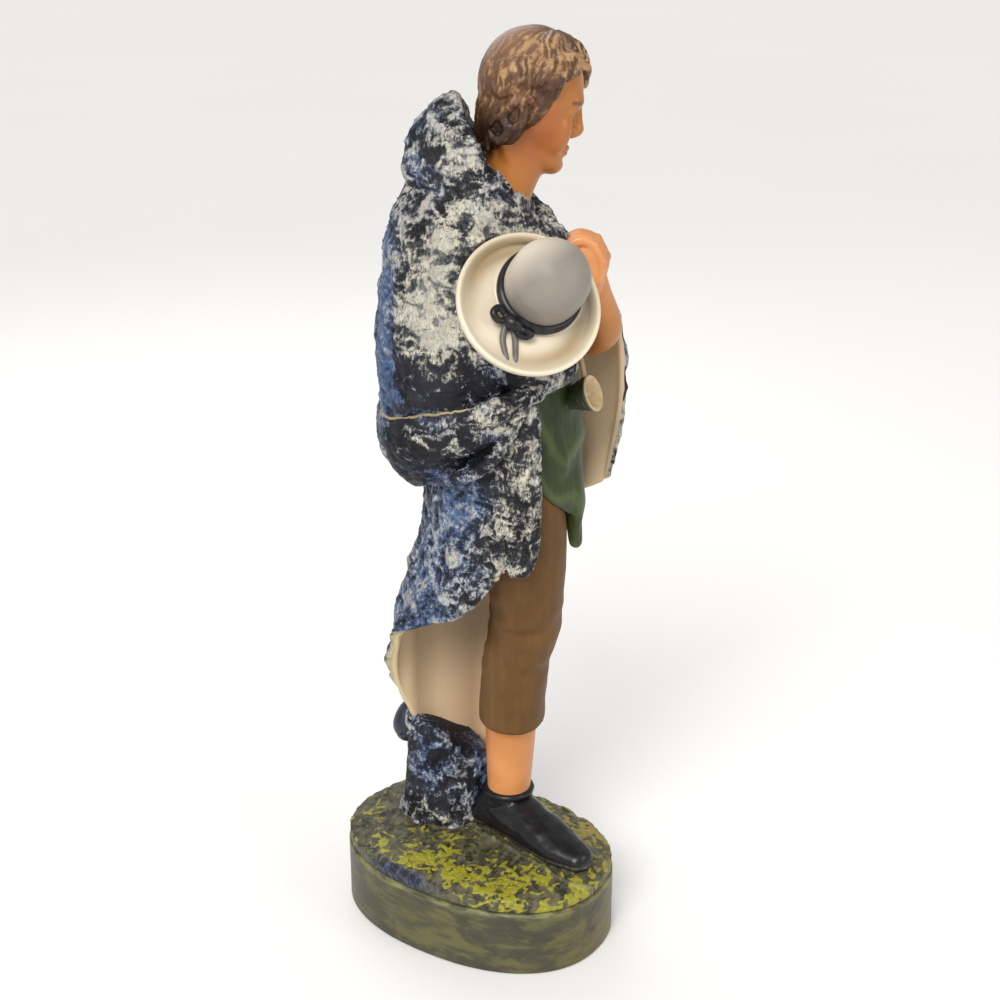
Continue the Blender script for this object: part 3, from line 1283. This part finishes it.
def make_lip(material, swag):
    """The thin turned edge where the slung fleece opens round the hips, laid on the fleece."""
    rows = [
        (-51.0, 6, 262, 0.5),
        (-52.6, -8, 262, 0.9),
        (-51.8, -20, 263.5, 1.0),
        (-46.4, -31, 266, 1.0),
        (-38.3, -42.4, 269, 1.1),
        (-27.6, -50.8, 271.5, 1.1),
        (-18, -55.2, 273.5, 1.1),
        (-8, -58, 275.5, 0.8),
        (1, -59, 278.5, 0.5),
    ]
    surface = bvhtree.BVHTree.FromObject(swag, bpy.context.evaluated_depsgraph_get())
    laid = []
    for i, (x, y, z, r) in enumerate(through(rows, 70)):
        place, normal, _, _ = surface.find_nearest(Vector((x, y, z + 0.8 * math.sin(0.21 * i))))
        worn = noise.noise(Vector((0.16 * i, 3, 0)))
        laid.append((*(place + normal * (0.1 - 0.5 * max(0, -worn))), r * (0.62 + 0.65 * worn)))
    return swept("fleece_lip", [(laid, 210, False)], material)


def make_skirt():
    piece, share = cloth_sheet(
        "fleece_skirt",
        SKIRT,
        across=200,
        down=150,
        folds=7,
        fold_depth=1.6,
        notches=((0.535, 0.008, 0.05),),
        creases=(
            (0.535, 0.010, 2.2, 0.28),
            (0.71, 0.012, 2.2, 0.3),
            (0.60, 0.02, 1.5, 0.5),
            (0.86, 0.02, 1.2, 0.7),
        ),
    )
    return dress_in_fleece(piece, (5.2, 5.2, 6.4), where=share, depth=0.85)


def make_drape():
    piece, share = cloth_sheet("fleece_drape", DRAPE, across=100, down=90, folds=3, fold_depth=2.5)
    return dress_in_fleece(piece, (6, 6, 8), where=share)


# Clothes, limbs and shoes

def make_tunic():
    """The coat's body with its slanting creases, and its pointed front skirt."""
    forms = Forms()
    forms.stack(
        [
            (11, 0, 305, 34, 37, 0),
            (13, 0, 290, 36, 39, 0),
            (17, 0, 268, 37, 38, -0.2),
            (18, 0, 252, 37, 38, -0.6),
            (19, 0, 243, 36, 37.5, -0.95),
            (18.5, 0, 237, 34.5, 36, -1.1),
        ],
        around=80,
        along=40,
    )
    front_point = [(39, -6, 250, 14, 18), (46, -7, 222, 9.5, 15), (50, -9, 203, 5, 9), (51, -10, 188, 3.4, 5)]
    forms.tube(front_point, side=FORWARD, around=30, along=30)
    for i in range(3):
        y, z = -30 + 8 * i, 262 - 4 * i
        x = 38 + 4 * i
        crease = [(x, y, z, 2, 2), (x + 4, y + 3, z - 18, 3, 3), (x + 6, y + 7, z - 38, 2, 2)]
        forms.tube(crease, around=12, along=20)
    piece = cast_in_one(forms, "tunic", CLOTH_VOXEL, smoothing=3)
    points = points_of(piece)
    slant = points @ np.array((0.10, -0.05, 0.06))
    wander = noise_at(points, 26)
    ripple = np.sin(slant * 6.28 * 0.55 + 3.5 * wander) * np.clip(1 - abs(wander) * 0.8, 0, 1)
    ripple = np.sign(ripple) * abs(ripple) ** 1.4
    raise_by(piece, 0.85 * ripple)
    note(piece, ridge=0.5 + 0.5 * ripple)
    return piece


RIGHT_BREECH = (
    (22, -14, 236, 21, 19),
    (24.5, -15, 188, 21.5, 21),
    (25.3, -9, 142, 18.6, 19.5),
    (20.5, -5, 118, 18.5, 18),
    (18, 0, 90, 18.3, 18),
    (17.5, 2, 76, 18.2, 17.6),
)
LEFT_BREECH = (
    (19, 18, 236, 22, 20),
    (20, 24, 188, 20, 19),
    (23.5, 29, 142, 18, 18),
    (20.5, 31, 112, 17, 16.5),
    (18.5, 33, 84, 16.5, 16),
)


def breech_folds(point):
    """Soft creases behind the knee, and a few long ones down the thigh."""
    height = point.z
    fold = noise.noise(Vector((point.x / 26, point.y / 26, height / 9)))
    behind_knee = math.exp(-(((height - 140) / 22) ** 2))
    long_fold = noise.noise(Vector((point.x / 9, point.y / 9, height / 60)))
    return fold * (0.5 + 1.6 * behind_knee) + 0.5 * long_fold


def make_breeches():
    forms = Forms()
    for rows in (RIGHT_BREECH, LEFT_BREECH):
        forms.tube(rows, side=FORWARD, around=72, along=130, rounding=0.18, relief=breech_folds)
    return cast_in_one(forms, "breeches", CLOTH_VOXEL, smoothing=2)


def make_shins():
    forms = Forms()
    right_shin = [(18, 1, 96, 14.5, 14), (17, 5, 62, 14, 13.5), (16, 9, 22, 12, 12)]
    left_shin = [(19, 32, 104, 12.5, 12.5), (18, 33, 66, 12, 12), (15, 33, 24, 10.5, 10.5)]
    for rows in (right_shin, left_shin):
        forms.tube(rows, side=FORWARD, around=60, along=60)
    piece = forms.object("shins")
    note(piece, pale=np.clip((60 - points_of(piece)[:, 2]) / 40 + 0.6, 0, 1), blush=0, lips=0, brow=0)
    return piece


RIGHT_FOOT = (
    (3, 18, 7, 11, 12),
    (13, 11, 11, 15, 14),
    (30, -6, 8, 13, 14),
    (45, -21, 4.5, 9.5, 13.5),
    (55, -31, 3, 7.5, 9.5),
)
LEFT_FOOT = ((11, 28, 10, 10, 10), (14, 34, 10, 11, 11), (17, 40, 7, 8.5, 11), (19, 45, 4.5, 6.5, 7.5))


def make_shoes():
    """Low shoes: a shaft round the ankle and a foot that tapers to a rounded toe."""
    forms = Forms()
    right_shaft = [(13, 12, 4, 14, 14), (14, 11, 15, 14.5, 14), (16, 9, 25.5, 14, 13.5)]
    left_shaft = [(12, 31, 8, 12, 12), (14.5, 32, 25, 12.5, 12)]
    for shaft in (right_shaft, left_shaft):
        forms.tube(shaft, side=FORWARD, around=48, along=20, rounding=0.2)
    for foot in (RIGHT_FOOT, LEFT_FOOT):
        forms.tube(foot, around=48, along=40)
    piece = cast_in_one(forms, "shoes", SHOE_VOXEL, smoothing=4)
    points = points_of(piece)
    welt = np.exp(-(((points[:, 2] - 2.2) / 0.9) ** 2))
    folds = np.array([noise.noise(Vector((p[0] / 7, p[1] / 7, p[2] / 3.2))) for p in points])
    raise_by(piece, 0.5 * folds * np.clip((points[:, 2] - 5) / 6, 0, 1) - 0.5 * welt)
    note(piece, welt=welt)
    return piece


def make_rims(material):
    """The turned rim of each shoe's shaft."""
    paths = []
    for centre, reach in (((16, 9, 25.6), 12.9), ((14.5, 32, 25.4), 11.6)):
        rim = [
            (centre[0] + reach * math.cos(w), centre[1] + reach * math.sin(w), centre[2], 2.1)
            for w in np.linspace(0, 2 * math.pi, 13)[:-1]
        ]
        paths.append((rim, 60, True))
    return swept("shoe_rims", paths, material)


def finger_rows(i):
    """A finger that lies over the clasped hands, from its knuckle to its tip."""
    x, y = 63 - 0.8 * i, 7.5 - 4.9 * i
    return [
        (x - 0.5, y, 327, 2.7, 2.7),
        (x + 0.6, y, 336, 2.9, 2.9),
        (x - 3.8, y, 344.5, 2.9, 2.9),
        (51, y - 1, 348, 2.8, 2.8),
        (44, y - 1, 345, 2.5, 2.5),
    ]


def make_hands():
    """Bare forearms, and two clasped hands with the fingers of one folded over the other."""
    forms = Forms()
    for forearm in (
        [(34, -33, 300, 8, 8), (42, -24, 307, 9.5, 9), (48, -12, 317, 9, 8.5), (51, -4, 328, 8, 7)],
        [(60.5, 33, 286, 9, 9), (64.3, 22, 296, 10.5, 10.5), (59, 8, 318, 8.5, 8.5), (55.5, 2, 334, 7.5, 7)],
    ):
        forms.tube(forearm, side=FORWARD, around=36, along=40)
    for side in (-1, 1):
        palm = [(51, 3 * side, 320, 10, 6), (54.5, 3 * side, 331, 10, 7.5), (55, 3 * side, 341, 9, 7)]
        forms.tube(palm, side=FORWARD, around=30, along=20)
    for i in range(4):
        rows = finger_rows(i)
        forms.tube(rows, side=(0, 1, 0), around=18, along=40)
        for knuckle in (rows[1], rows[2]):
            forms.ball(Vector(knuckle[:3]) + Vector((0.3, 0, 0.2)), (3.3, 2.9, 3.3))
        forms.ball(rows[4][:3], (2.9, 2.6, 2.6))
    for y, x in ((10, 52), (-10, 50)):
        thumb = [(x + 3, 0.8 * y, 326, 3.4, 3.4), (x, y, 336, 3.4, 3.2), (x - 6, 0.7 * y, 343, 2.9, 2.7)]
        forms.tube(thumb, side=FORWARD, around=16, along=20)
    piece = cast_in_one(forms, "hands", SKIN_VOXEL, smoothing=2)
    points = points_of(piece)
    blush = near(points, (54, 0, 336), (14, 14, 8)) * 0.4
    note(piece, pale=np.clip((points[:, 2] - 300) / 30, 0, 1), blush=blush, lips=0, brow=0)
    return piece


# Hat and horn

def hat_frame():
    """The middle of the hat's brim on the forearm, and the axes that its crown stands up on."""
    crown = Vector((0.28, -0.78, 0.56)).normalized()
    side = Vector((0, 0, 1)).cross(crown).normalized()
    return Vector((23.4, -55.5, 326.7)), Matrix((side, crown.cross(side), crown)).transposed()


HAT_OFFSET = (8.0, 7.0)


def on_hat(*rows):
    return in_axes(hat_frame(), rows)


def lathe(profile, around=128):
    """A closed turning on the hat's axis, from rows of radius, height and share of the offset."""
    forms = Forms()
    turns = [2 * math.pi * j / around for j in range(around)]
    rings = []
    for r, n, share in profile:
        x, y = HAT_OFFSET[0] * share, HAT_OFFSET[1] * share
        rings.append(on_hat(*((x + r * math.cos(w), y + r * math.sin(w), n) for w in turns)))
    forms.skin(rings)
    return forms


def make_brim():
    """The dished brim with its curled rim, shaded towards the upper side of the dish."""
    sizes = bpy.context.scene.shepherd_sizes
    brim, crown = sizes.hat_brim / 2, sizes.hat_crown / 2
    thick, curl = sizes.brim_thickness, sizes.brim_curl
    profile = [(0.02 * brim, -thick, 0), (0.3 * brim, -thick, 0), (0.74 * brim, -thick, 0)]
    profile += [(0.93 * brim, curl * 0.3 - thick, 0), (0.985 * brim, curl * 0.62 - thick / 2, 0)]
    profile += [(brim, curl - thick / 2, 0), (0.992 * brim, curl * 0.95, 0), (0.96 * brim, curl, 0)]
    profile += [(0.925 * brim, curl * 0.85, 0), (0.87 * brim, curl * 0.45, 0.1)]
    profile += [(0.80 * brim, curl * 0.15, 0.4), (crown + 4, 0, 1), (crown + 1, 0.3, 1), (0.3 * crown, 1, 1)]
    piece = lathe(through(profile, 90).tolist()).object("hat_brim")
    x, y, z = seen_from(piece, hat_frame()).T
    reach = np.hypot(x, y) / brim
    upper = np.clip((0.80 * y - 0.20 * x) / brim + 0.12, 0, 1)
    lower = np.clip((0.40 * x - 0.80 * y) / brim - 0.05, 0, 1)
    dish = np.exp(-(((reach - 0.80) / 0.15) ** 2)) * upper * 1.4
    dish += np.exp(-(((reach - 0.76) / 0.13) ** 2)) * lower * 1.5
    note(piece, shade=np.clip(dish * (z > -thick * 0.5), 0, 1))
    return piece


def make_crown():
    """The domed crown, set off to one side of the brim."""
    sizes = bpy.context.scene.shepherd_sizes
    crown, tall = sizes.hat_crown / 2, sizes.hat_crown_height
    profile = [(0.2, 0.2, 1), (crown * 0.94, 0.2, 1), (crown * 0.97, 3, 1)]
    profile += [(crown, 8, 1), (crown, tall - crown, 1)]
    dome = np.linspace(0.12, 1.56, 14)
    profile += [(crown * math.cos(a), tall - crown + crown * math.sin(a), 1) for a in dome]
    piece = lathe(through(profile, 80).tolist()).object("hat_crown")
    x, y, _ = seen_from(piece, hat_frame()).T
    rise = (0.85 * (y - HAT_OFFSET[1]) - 0.40 * (x - HAT_OFFSET[0])) / crown
    note(piece, upper=np.clip(1.2 * (rise - 0.05), 0, 1) ** 1.4)
    return piece


def make_band(material):
    """The black band round the crown, its bow and its two tails."""
    crown = bpy.context.scene.shepherd_sizes.hat_crown / 2
    dx, dy = HAT_OFFSET
    ring = []
    for w in np.linspace(0, 2 * math.pi, 17)[:-1]:
        lower_left = max(0.0, math.cos(w - math.radians(232)))
        thick = 1.7 + 1.6 * lower_left
        ring.append((dx + (crown + 0.2) * math.cos(w), dy + (crown + 0.2) * math.sin(w), 2.4, thick))
    loop = [(-12.5, -4, 4.5, 1.5), (-15.5, -0.8, 5.4, 1.7), (-18.6, -3, 5.6, 1.8)]
    loop += [(-17, -6.6, 5, 1.7), (-13, -6.6, 4.5, 1.5)]
    far_loop = [(-8, -11, 4.2, 1.5), (-5, -13, 5, 1.7), (-2, -15, 4.6, 1.6)]
    far_loop += [(-5, -16, 4, 1.5), (-8.5, -13.5, 4, 1.5)]
    knot = [(-13, -5.5, 4.2, 2.6), (-10, -8.8, 4.8, 4.0), (-7, -11.6, 4.2, 2.8)]
    paths = ((ring, 96, True), (loop, 40, True), (far_loop, 40, True), (knot, 16, False))
    return swept("hat_band", [(on_hat(*rows), *rest) for rows, *rest in paths], material, sides=16)


def make_tails():
    """The band's two tails, flat on the brim, with pale brushed streaks."""
    forms = Forms()
    side = tuple(hat_frame()[1] @ Vector((0, 0, 1)))
    for rows in (
        [(-12.5, -8, 3, 1.0, 1.5), (-15.3, -15, 1.6, 1.0, 1.5), (-15.4, -26, 2.0, 0.8, 1.3)],
        [(-9.5, -11, 3, 1.0, 1.5), (-9.5, -18, 1.4, 1.0, 1.5), (-11.7, -28, 1.8, 0.8, 1.3)],
    ):
        forms.tube(on_hat(*rows), side=side, around=20, along=30, strands=(3, 0.12, 0))
    return forms.object("hat_band_tails")


def make_horn():
    """The small drinking horn at the belt, with a hollow mouth and a rolled lip."""
    mouth = bpy.context.scene.shepherd_sizes.horn_mouth / 2
    rows = [(40, -20, 266, 4), (46, -21.5, 269, 0.5 * mouth)]
    rows += [(51.5, -23.5, 272, 0.8 * mouth), (57, -26, 274.5, mouth)]
    path = through(rows, 30)
    tangents = np.gradient(path[:, :3], axis=0)
    rings, tones = [], []
    turns = np.linspace(0, 2 * math.pi, 49)[:-1]

    def ring(i, reach, ahead=0.0):
        t = Vector(tangents[i]).normalized()
        n = Vector((0, 0, 1))
        n = (n - n.dot(t) * t).normalized()
        m = t.cross(n)
        c = Vector(path[i, :3]) + t * ahead
        return [c + n * (reach * math.cos(w)) + m * (reach * math.sin(w)) for w in turns]

    for i in range(len(path)):
        rings.append(ring(i, path[i, 3] * (1 + 0.03 * math.sin(i * 1.9))))
        tones.append(0.0)
    last = len(path) - 1
    rolled = [(1.0, 0.6, 0.6), (0.94, 1.3, 1), (0.85, 0.9, 1)]
    hollow = [(0.7, -1.5, 0.9), (0.45, -4, 0.8), (0.2, -5.5, 0.7)]
    for reach, ahead, tone in rolled + hollow:
        rings.append(ring(last, mouth * reach, ahead))
        tones.append(tone)
    forms = Forms()
    forms.skin(rings)
    piece = forms.object("drinking_horn")
    note(piece, mouth=np.repeat(tones, len(turns)).tolist() + [tones[0], tones[-1]])
    return piece


def make_strap(material):
    """The strap that the horn hangs from."""
    rows = [(53, -25, 283, 1.3), (50, -27, 296, 1.2), (44, -29, 308, 1.2)]
    return swept("horn_strap", [(rows, 24, False)], material)


# The base

def oval(inset, height_at, around, wobble=0.0):
    """A ring of points round the base's oval, set in from its edge, at a height for each place."""
    power = 2 / OVAL_SQUARENESS
    half_long, half_deep = PLINTH_HIGH.x - inset, PLINTH_HIGH.y - inset
    ring = []
    for j in range(around):
        w = 2 * math.pi * j / around
        x = math.copysign(abs(math.cos(w)) ** power, math.cos(w))
        y = math.copysign(abs(math.sin(w)) ** power, math.sin(w))
        bulge = 1 + wobble * noise.noise(Vector((3 * x, 3 * y, 200 * inset)))
        x, y = x * half_long * bulge, y * half_deep * bulge
        ring.append((x, y, height_at(x, y)))
    return ring


def ground_height(sink):
    """The height of the trodden ground, sunk by an amount that grows towards the rim."""

    def height_at(x, y):
        lumps = noise.noise(Vector((x, y, 0)) * 95) + 0.5 * noise.noise(Vector((x, y, 0.3)) * 200)
        return GROUND_HEIGHT - sink + 1.3 * UNIT * lumps

    return height_at


def sole_distance(point):
    """How far a place on the ground is from the middle line of the near shoe."""
    ends = [(*row[:2], 0) for row in RIGHT_FOOT[1:]]
    here = Vector((point[0], point[1], 0))
    close = []
    for a, b in zip(ends, ends[1:]):
        a, b = Vector(a), Vector(b)
        share = max(0, min(1, (here - a).dot(b - a) / (b - a).length_squared))
        close.append((here - a.lerp(b, share)).length)
    return min(close)


def make_ground():
    """The slab of rough ground: flat below, a low side, and clumps of turf brushed yellow green."""
    seat = FIGURE_LOW.z
    half_deep = PLINTH_HIGH.y
    profile = [
        (GROUND_INSET + 0.0011, lambda x, y: seat, 0.0),
        (GROUND_INSET + 0.0003, lambda x, y: seat + 0.0004, 0.0),
        (GROUND_INSET, lambda x, y: seat + 0.0012, 0.0),
    ]
    for rise in (0.25, 0.5, 0.75):
        low, high = seat + 0.0012, GROUND_HEIGHT - 0.45 * GROUND_THICKNESS
        profile.append((GROUND_INSET, lambda x, y, h=low + (high - low) * rise: h, 0.4))
    slope = [(0.0, 0.45), (0.03, 0.33), (0.06, 0.26), (0.13, 0.14), (0.24, 0.10)]
    slope += [(0.38, 0.06), (0.54, 0.03), (0.72, 0.0), (0.985, 0.0)]
    for share, sink in through(slope, 76):
        profile.append((GROUND_INSET + half_deep * share, ground_height(sink * GROUND_THICKNESS), 1.0))
    around = 300
    forms = Forms()
    forms.skin([oval(inset, height, around) for inset, height, _ in profile])
    piece = forms.object("rough_ground")
    points = points_of(piece)
    rough = np.repeat([r for _, _, r in profile], around).tolist() + [0.0, 1.0]
    relief = []
    for x, y, z in points * 1000:
        p = Vector((x / 5.5, y / 5.5, z / 5.5))
        bend = noise.noise_vector(p * 0.7) * 0.9
        ridge = 1 - 3 * abs(noise.noise(p * 1.1 + bend))
        hatch = noise.noise(Vector((x / 1.6, y / 5, z / 2)) + bend)
        relief.append(0.5 * noise.noise(p + bend) + 0.35 * ridge + 0.25 * hatch)
    relief = np.array(relief)
    carved = (points - np.array(PLACE.translation)) @ np.array(PLACE.to_3x3()) / UNIT**2
    beside = [abs(sole_distance(p) - 16.5) for p in carved]
    ring = np.exp(-((np.array(beside) / 1.0) ** 2)) * (carved[:, 1] < 8)
    raise_by(piece, (relief * 0.0010 + ring * 0.0014) * np.array(rough))
    edge = np.hypot(points[:, 0] / PLINTH_HIGH.x, points[:, 1] / PLINTH_HIGH.y)
    broad = np.array([noise.noise(Vector(p) * 70) for p in points])
    turf = 0.20 + 0.34 * broad
    for centre, radii, more in TURF_PLACES:
        turf += more * near(carved[:, :2], centre, radii)
    left = near(carved[:, :2], (-50, -36), (30, 20)) * np.clip((edge - 0.90) / 0.04, 0, 1)
    note(
        piece,
        relief=ranked(relief),
        turf=np.clip(turf, 0.02, 0.9),
        warm=np.clip((carved[:, 0] - 36) / 20, 0, 1) * np.clip((carved[:, 1] + 40) / 20, 0, 1),
        strip=np.clip(left * 1.7 - 0.2, 0, 1),
        ring=ring * 0.9,
        clumps=(1 - ring) * np.clip((turf - 0.42) * 3, 0, 1) * np.clip((0.88 - edge) * 12, 0, 1),
    )
    return piece


def make_clumps(ground, material):
    """Small flat clumps of turf, scattered where the ground is green."""
    source = ground.data.copy()
    shape = bmesh.new()
    shape.from_mesh(source)
    limit = FIGURE_LOW.z + 0.4 * GROUND_THICKNESS
    drop = [f for f in shape.faces if f.normal.z < 0.3 or f.calc_center_median().z < limit]
    bmesh.ops.delete(shape, geom=drop, context="FACES")
    shape.to_mesh(source)
    shape.free()
    piece = linked("turf_clumps", source)
    values = {"Density": 160000.0, "Size": 0.0012, "Seed": 7, "Material": material}
    piece = clump_group().run(piece, values)
    notes = {"relief": 0.80, "turf": 0.62, "strip": 0.0, "warm": 0.0, "ring": 0.0}
    for name in notes:
        if name in piece.data.attributes:
            piece.data.attributes.remove(piece.data.attributes[name])
    note(piece, **notes)
    return piece


def make_plinth():
    """The plinth's oval body with its soft edges, uneven from its casting."""
    top = PLINTH_HIGH.z
    bevel = 0.0016
    rings, lips = [], []
    around = 280
    bend = [(bevel * (1 - math.sin(a)), bevel * (1 - math.cos(a))) for a in np.linspace(0, math.pi / 2, 6)]
    for inset, height in bend:
        rings.append(oval(inset, lambda x, y, h=height: h, around))
        lips.append(0.0)
    for share in np.linspace(0.03, 0.97, 44):
        wobble = 0.0035 * math.sin(math.pi * share)
        height = bevel + share * (top - 2 * bevel)
        rings.append(oval(0.0, lambda x, y, h=height: h, around, wobble))
        lips.append(math.exp(-(((1 - share) / 0.035) ** 2)))
    for inset, height in bend[::-1]:
        rings.append(oval(inset, lambda x, y, h=top - height: h, around))
        lips.append(1.0)
    forms = Forms()
    forms.skin(rings)
    piece = forms.object("painted_plinth")
    carved = points_of(piece) @ np.array(PLACE.to_3x3()) / UNIT**2
    warm = np.clip((carved[:, 0] - 38) / 30, 0, 1) * np.clip((10 - carved[:, 1]) / 30, 0, 1)
    note(piece, lip=np.repeat(lips, around).tolist() + [0.0, 0.0], warm=warm)
    return piece


# The operators

class HeadOperator(bpy.types.Operator):
    """Carves and paints the head, the neck, the eyes and the hair"""

    bl_idname = "shepherd.head"
    bl_label = "Head and hair"

    def execute(self, context):
        forms = Forms()
        carve_skull(forms)
        skull = cast_in_one(forms, "skull", SKULL_VOXEL, smoothing=28)
        forms = Forms()
        forms.mesh.from_mesh(skull.data)
        bpy.data.objects.remove(skull)
        carve_features(forms)
        lid_forms(forms)
        head = cast_in_one(forms, "head", SKIN_VOXEL, smoothing=2)
        sculpt_face(head)
        settle(head, material=skin_paint())
        settle(make_eyes(), material=eye_paint())
        forms = Forms()
        carve_hair(forms)
        hair = cast_in_one(forms, "hair", HAIR_VOXEL, smoothing=1)
        sculpt_hair(hair)
        settle(hair, material=hair_paint())
        return {"FINISHED"}


class CloakOperator(bpy.types.Operator):
    """Carves and paints the fleece cloak: cape, hood, sleeve, swag, skirt, drape and train"""

    bl_idname = "shepherd.cloak"
    bl_label = "Fleece cloak"

    def execute(self, context):
        fleece = fleece_paint()
        paints = context.scene.shepherd_paints
        swag = make_swag()
        settle(make_lip(cloth_paint("cream_edge", scaled(paints.hem, 0.5), paints.hem), swag))
        settle(swag, material=fleece)
        for make in (make_cape, make_sleeve, make_skirt, make_drape, make_train):
            settle(make(), material=fleece)
        light = scaled(paints.fleece_blue, 0.5)
        settle(make_lobe(), material=cloth_paint("blue_black_fold", (0.008, 0.010, 0.022), light, coat=0.5))
        return {"FINISHED"}


class ClothesOperator(bpy.types.Operator):
    """Makes the tunic, the breeches, the bare limbs and the shoes"""

    bl_idname = "shepherd.clothes"
    bl_label = "Clothes and limbs"

    def execute(self, context):
        paints = context.scene.shepherd_paints
        light = (0.105, 0.130, 0.045)
        tunic = cloth_paint("green_tunic", paints.tunic, light, rough=0.44, coat=0.08, gloss=0.3, rubbed=True)
        light = (0.19, 0.098, 0.030)
        breeches = cloth_paint("olive_breeches", paints.breeches, light, rough=0.5, coat=0.03, gloss=0.25)
        settle(make_tunic(), material=tunic)
        settle(make_breeches(), material=breeches)
        skin = skin_paint()
        settle(make_shins(), material=skin)
        settle(make_hands(), material=skin)
        shoes = shoe_paint()
        settle(make_shoes(), material=shoes)
        settle(make_rims(shoes))
        return {"FINISHED"}


class HatOperator(bpy.types.Operator):
    """Makes the hat with its band and bow, and the drinking horn"""

    bl_idname = "shepherd.hat"
    bl_label = "Hat and horn"

    def execute(self, context):
        paints = context.scene.shepherd_paints
        settle(make_brim(), material=brim_paint())
        settle(make_crown(), material=crown_paint())
        band = cloth_paint("black_band", paints.band, (0.06, 0.06, 0.07), rough=0.3, coat=0.2, gloss=0.3)
        settle(make_band(band))
        tails = cloth_paint("grey_tails", (0.11, 0.105, 0.10), (0.42, 0.38, 0.30), rough=0.4)
        settle(make_tails(), material=tails)
        settle(make_horn(), material=horn_paint())
        settle(make_strap(cloth_paint("pale_strap", (0.40, 0.30, 0.16), (0.6, 0.5, 0.34))))
        return {"FINISHED"}


class BaseOperator(bpy.types.Operator):
    """Makes the rough ground, its clumps of turf and the plinth"""

    bl_idname = "shepherd.base"
    bl_label = "Ground and plinth"

    def execute(self, context):
        paint = ground_paint()
        ground = make_ground()
        clumps = make_clumps(ground, paint)
        settle(ground, material=paint, place=None)
        settle(clumps, material=paint, place=None)
        settle(make_plinth(), node=PLINTH, material=plinth_paint(), place=None)
        return {"FINISHED"}


class StageOperator(bpy.types.Operator):
    """Sets up the pale floor, the soft studio light and the photograph's camera"""

    bl_idname = "shepherd.stage"
    bl_label = "Stage"

    def execute(self, context):
        stage = context.scene.shepherd_stage
        forms = Forms()
        bmesh.ops.create_circle(forms.mesh, cap_ends=True, segments=96, radius=stage.floor_radius)
        floor = forms.object("floor")
        paint = Paint("pale_floor")
        cloud = paint.grain(0.4, detail=2)
        paint.finish(paint.mix(cloud, (0.88, 0.88, 0.88), (0.92, 0.92, 0.92)), 0.7, coat=0.0)
        floor.data.materials.append(paint.material)
        self.light_up(context, stage)
        self.set_camera(context)
        return {"FINISHED"}

    @staticmethod
    def light_up(context, stage):
        world = bpy.data.worlds.new("studio")
        world.use_nodes = True
        sky = world.node_tree.nodes["Background"]
        sky.inputs["Color"].default_value = (1.0, 0.99, 0.97, 1.0)
        sky.inputs["Strength"].default_value = stage.sky
        context.scene.world = world
        context.scene.view_settings.view_transform = "Standard"
        key = bpy.data.lights.new("key", "SUN")
        key.energy = stage.key
        key.angle = math.radians(30)
        key.color = (1.0, 0.97, 0.92)
        aim(key, (-0.30, -1.0, 1.15))
        for name, place, size, share in (
            ("left_box", (-0.75, -0.85, 0.95), 0.5, 1.0),
            ("right_box", (0.9, -0.55, 0.7), 0.4, 1.3),
            ("back_box", (-0.35, 0.90, 1.05), 0.9, 2.6),
        ):
            box = bpy.data.lights.new(name, "AREA")
            box.size = size
            box.energy = stage.fill * share
            aim(box, place)

    @staticmethod
    def set_camera(context):
        data = bpy.data.cameras.new("camera")
        data.sensor_width = SENSOR_WIDTH
        data.lens = FOCAL_PIXELS / PICTURE_PIXELS * SENSOR_WIDTH
        camera = linked("camera", data)
        tilt = Matrix.Rotation(math.radians(90 - CAMERA_TILT), 4, "X")
        camera.matrix_world = TURN @ FIGURE_PLACE @ Matrix.Translation(CAMERA_PLACE) @ tilt
        context.scene.camera = camera


def aim(light, place):
    """Stands a light at a place in the figure's turned frame, facing the middle of the figure."""
    lamp = linked(light.name, light)
    middle = Vector((0, 0, 0.5 * FIGURE_HIGH.z))
    place = Vector(place)
    turn = (middle - place).to_track_quat("-Z", "Y").to_matrix().to_4x4()
    lamp.matrix_world = TURN @ Matrix.Translation(place) @ turn


class ShepherdPanel(bpy.types.Panel):
    """Lists the steps that build the shepherd"""

    bl_idname = "VIEW3D_PT_shepherd"
    bl_label = "Painted shepherd"
    bl_space_type = "VIEW_3D"
    bl_region_type = "UI"
    bl_category = "Shepherd"

    def draw(self, context):
        layout = self.layout
        for operator in OPERATORS:
            layout.operator(operator.bl_idname)
        for place in GROUPS:
            group = getattr(context.scene, place)
            for name in group.__annotations__:
                layout.prop(group, name)


OPERATORS = (StageOperator, BaseOperator, ClothesOperator, CloakOperator, HatOperator, HeadOperator)
GROUPS = {
    "shepherd_sizes": ShepherdSizes,
    "shepherd_paints": ShepherdPaints,
    "shepherd_stage": ShepherdStage,
}


def register():
    for group in GROUPS.values():
        bpy.utils.register_class(group)
    for name, group in GROUPS.items():
        setattr(bpy.types.Scene, name, bpy.props.PointerProperty(type=group))
    for operator in OPERATORS:
        bpy.utils.register_class(operator)
    bpy.utils.register_class(ShepherdPanel)


def unregister():
    bpy.utils.unregister_class(ShepherdPanel)
    for operator in OPERATORS:
        bpy.utils.unregister_class(operator)
    for name in GROUPS:
        delattr(bpy.types.Scene, name)
    for group in GROUPS.values():
        bpy.utils.unregister_class(group)


def main():
    register()
    bpy.ops.shepherd.stage()
    bpy.ops.shepherd.base()
    bpy.ops.shepherd.clothes()
    bpy.ops.shepherd.cloak()
    bpy.ops.shepherd.hat()
    bpy.ops.shepherd.head()


if __name__ == "__main__":
    main()
